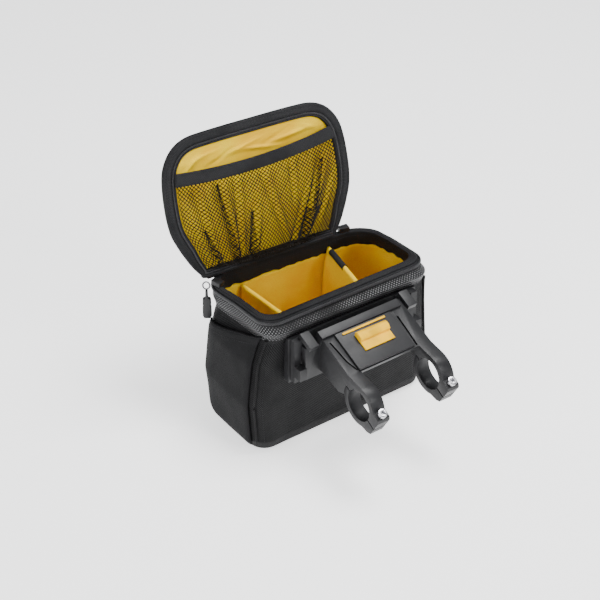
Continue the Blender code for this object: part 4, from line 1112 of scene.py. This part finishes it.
def net_piece(name, wide, high, spot, thread):
    """Both families of slanting threads over a width and height counted in meshes."""
    points, edges = [], []
    for family in (1, -1):
        for start in range(-2 * high, 2 * (wide + high) + 1, 2):
            columns = [start + family * k for k in range(2 * high + 1)]
            chain = [(column / (2 * wide), k / (2 * high))
                     for k, column in enumerate(columns) if 0 <= column <= 2 * wide]
            if len(chain) > 1:
                first = len(points)
                points += [spot(a, b, 0.16 * family) for a, b in chain]
                edges += [(first + i, first + i + 1) for i in range(len(chain) - 1)]
    return run_tree(edge_lines(name + "_lines", points, edges), strands,
                    {"Thread": thread * MM, "Finish": NET_THREADS}, name)


net_pocket = net_piece("net_pocket", int(NET_WIDE / NET_PITCH), int(NET_HIGH / NET_PITCH),
                       lambda a, b, out: net_spot(2 * a - 1, b, out), NET_THREAD)
belongs(net_pocket, "net", "mesh_pocket")


# Where the net is folded over itself: the strip's low end on the lid with its width, and
# its top end with its width.
NET_DOUBLED = (
    ("net_fold_right", (30, 10), 8, (54, 44), 20),
    ("net_fold_left", (-54, 14), 6, (-66, 52), 2.4),
    ("net_fold_middle", (-37, 10), 6, (-45, 92), 2.0),
    ("net_fold_rope", (-20, 7), 7, (-13, 58), 2.2),
    ("net_fold_edge", (52, 42), 2.4, (70, 88), 3.2),
)


def net_fold_at(low, low_wide, top, top_wide):
    """The strip of net that lies doubled along one fold, as a function of its two shares."""
    def spot(a, b, out):
        x = low[0] + (top[0] - low[0]) * b + (a - 0.5) * (low_wide + (top_wide - low_wide) * b)
        v = low[1] + (top[1] - low[1]) * b
        across = max(-0.97, min(0.97, x / (lid_half(v) - 0.4)))
        up = (v - NET_FOOT) / (band_edge(across, 3) - NET_FOOT)
        return net_spot(across, max(up, 0.02), out + 0.7 + 0.9 * math.sin(math.pi * a))
    return spot


for name, low, low_wide, top, top_wide in NET_DOUBLED:
    wide = max(2, round((top_wide + low_wide) / 2 / FOLD_WIDE_PITCH))
    high = int((Vector(top) - Vector(low)).length / FOLD_HIGH_PITCH)
    net_fold = net_piece(name, wide, high, net_fold_at(low, low_wide, top, top_wide),
                         FOLD_THREAD)
    belongs(net_fold, "net")


# Pocket band: flat dark grey elastic that the net hangs from, folded double and stitched
# along both edges; its ends are caught under the facing.
BAND_COLS, BAND_ROWS, BAND_BELLY, BAND_TUCK = 60, 12, 3.4, 2.0
band_shares = [2 * c / BAND_COLS - 1 for c in range(BAND_COLS + 1)]
band_front, band_back = [], []
for r in range(BAND_ROWS + 1):
    lift = BAND_TALL * r / BAND_ROWS
    roll = 1.0 - abs(2 * r / BAND_ROWS - 1) ** 6
    line_a, line_b = [], []
    for across in band_shares:
        v = band_edge(across, lift)
        half = lid_half(v) + BAND_TUCK
        w = 1.9 + BAND_BELLY * (1 - across ** 2)
        w += 0.25 * noise.noise(Vector((across * 6, lift * 0.1, 0)))
        line_a.append(on_lid(across * half, v, w + 0.25 + 0.85 * roll))
        line_b.append(on_lid(across * half, v, w))
    band_front.append(line_a)
    band_back.append(line_b)
pocket_band = sheet_skin("pocket_band_elastic", band_front, band_back)
soft_piece(pocket_band, EDGE_TAPE, "binding", "pocket_band")
for name, lift in (("band_stitch_low", 1.6), ("band_stitch_high", BAND_TALL - 1.6)):
    seam = []
    for across in (share * 0.985 for share in band_shares):
        v = band_edge(across, lift)
        seam.append(on_lid(across * (lid_half(v) + BAND_TUCK), v,
                           3.15 + BAND_BELLY * (1 - across ** 2)))
    stitched(name, seam, [LID_FACE] * len(seam), Pitch=2.7 * MM, Long=1.9 * MM)


# Cloth hinge: a folded strip of nylon sewn to the front of the mouth and the lid's foot.
HINGE_ROWS, HINGE_COLS, HINGE_SHARE = 8, 40, 0.68
hinge_front, hinge_back = [], []
for t in (k / HINGE_ROWS for k in range(HINGE_ROWS + 1)):
    line_a, line_b = [], []
    for c in range(HINGE_COLS + 1):
        lid_end = on_lid((2 * c / HINGE_COLS - 1) * HINGE_SHARE * LID_HALF, 2.4, -3.6)
        wall_y, wall_z = mouth_front(lid_end.x, 1.4)
        y = lid_end.y + (wall_y - lid_end.y) * t
        ripple = 0.25 * noise.noise(Vector((lid_end.x * 0.1, y * 0.2, 0)))
        z = wall_z + GAP + 0.5 * (1 - t) + ripple
        line_a.append(Vector((lid_end.x, y, z + 1.3 + 0.4 * math.sin(math.pi * t))))
        line_b.append(Vector((lid_end.x, y, z)))
    hinge_front.append(line_a)
    hinge_back.append(line_b)
cloth_hinge = sheet_skin("cloth_hinge", hinge_front, hinge_back)
soft_piece(cloth_hinge, BLACK_NYLON, "cloth", "lid_hinge")


# Bag plate and bar bracket: mouldings in glass-filled nylon with a fine matt grain, their
# edges broken by a small radius. The plate is sewn to the bag's rear, the bracket hooks on
# it, and a cover closes its deck. Two caps clamp its arms on the bar.
MOULDED_NYLON = moulded_finish("moulded_nylon", (0.013, 0.013, 0.0142), 0.42, 0.00010,
                               patches=38.0, shine=0.3)
MOULD_RADIUS = 0.55 * MM


def moulding(node, name, finish, radius=MOULD_RADIUS, body=BAG, smooth=32):
    """The solid's own shape with its corners rounded, in its finish, on its body."""
    mesh = bpy.data.meshes.new(name)
    shaped = bmesh.new()
    shaped.from_mesh(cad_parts[node].data)
    bmesh.ops.remove_doubles(shaped, verts=shaped.verts, dist=0.00002)
    bmesh.ops.dissolve_limit(shaped, angle_limit=math.radians(1.5), verts=shaped.verts,
                             edges=shaped.edges)
    for face in shaped.faces:
        face.smooth = True
    shaped.to_mesh(mesh)
    shaped.free()
    piece = put(name, mesh)
    bevel = piece.modifiers.new("rounded_edges", "BEVEL")
    bevel.width = radius
    bevel.segments = 3
    bevel.limit_method = "ANGLE"
    bevel.angle_limit = math.radians(smooth)
    bevel.use_clamp_overlap = True
    bevel.harden_normals = True
    mesh.materials.append(finish)
    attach(piece, body)
    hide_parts(node)


moulding("bag_mount", "bag_plate", MOULDED_NYLON)
moulding("bracket", "bar_bracket", MOULDED_NYLON)
moulding("release_cover", "deck_cover", MOULDED_NYLON, radius=0.3 * MM)
for tag in ("left", "right"):
    moulding("clamp_cap_" + tag, "bar_clamp_" + tag, MOULDED_NYLON)


# Clamp bolts: one bright steel socket screw through the end of each clamp.
BRIGHT_STEEL = moulded_finish("bright_steel", (0.62, 0.62, 0.64), 0.26, 0.00003,
                              patches=500.0, metal=1.0)
for tag in ("left", "right"):
    moulding("clamp_bolt_" + tag, "clamp_screw_" + tag, BRIGHT_STEEL,
             radius=0.2 * MM)


# Release: a yellow thumb tab with a grip ridge slides in the bracket's deck and carries
# the narrow yellow bar that shows in the slot behind it.
YELLOW_PLASTIC = moulded_finish("yellow_plastic", (0.80, 0.44, 0.0), 0.45, 0.00003,
                                patches=80.0, shine=0.12)
moulding("release_button", "release_tab", YELLOW_PLASTIC, body="button",
         radius=0.5 * MM)
moulding("latch_strip", "latch_bar", YELLOW_PLASTIC, body="button",
         radius=0.2 * MM)


# Zip sliders: black enamelled bodies at the two ends of the mouth's coil. The left one
# carries a blackened steel ring with a moulded pull hanging from it.
BLACK_ENAMEL = moulded_finish("black_enamel", (0.007, 0.007, 0.008), 0.45, 0.00002,
                              patches=200.0, shine=0.3)
DARK_STEEL = moulded_finish("dark_steel", (0.10, 0.10, 0.105), 0.32, 0.00002,
                            patches=300.0, metal=1.0)
for tag in ("left", "right"):
    moulding("zip_slider_" + tag, "zip_runner_" + tag, BLACK_ENAMEL,
             radius=0.45 * MM)
moulding("zip_ring", "pull_ring", DARK_STEEL, radius=0.1 * MM, smooth=60)
moulding("zip_pull", "pull_tab", MOULDED_NYLON, radius=0.5 * MM)


low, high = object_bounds()
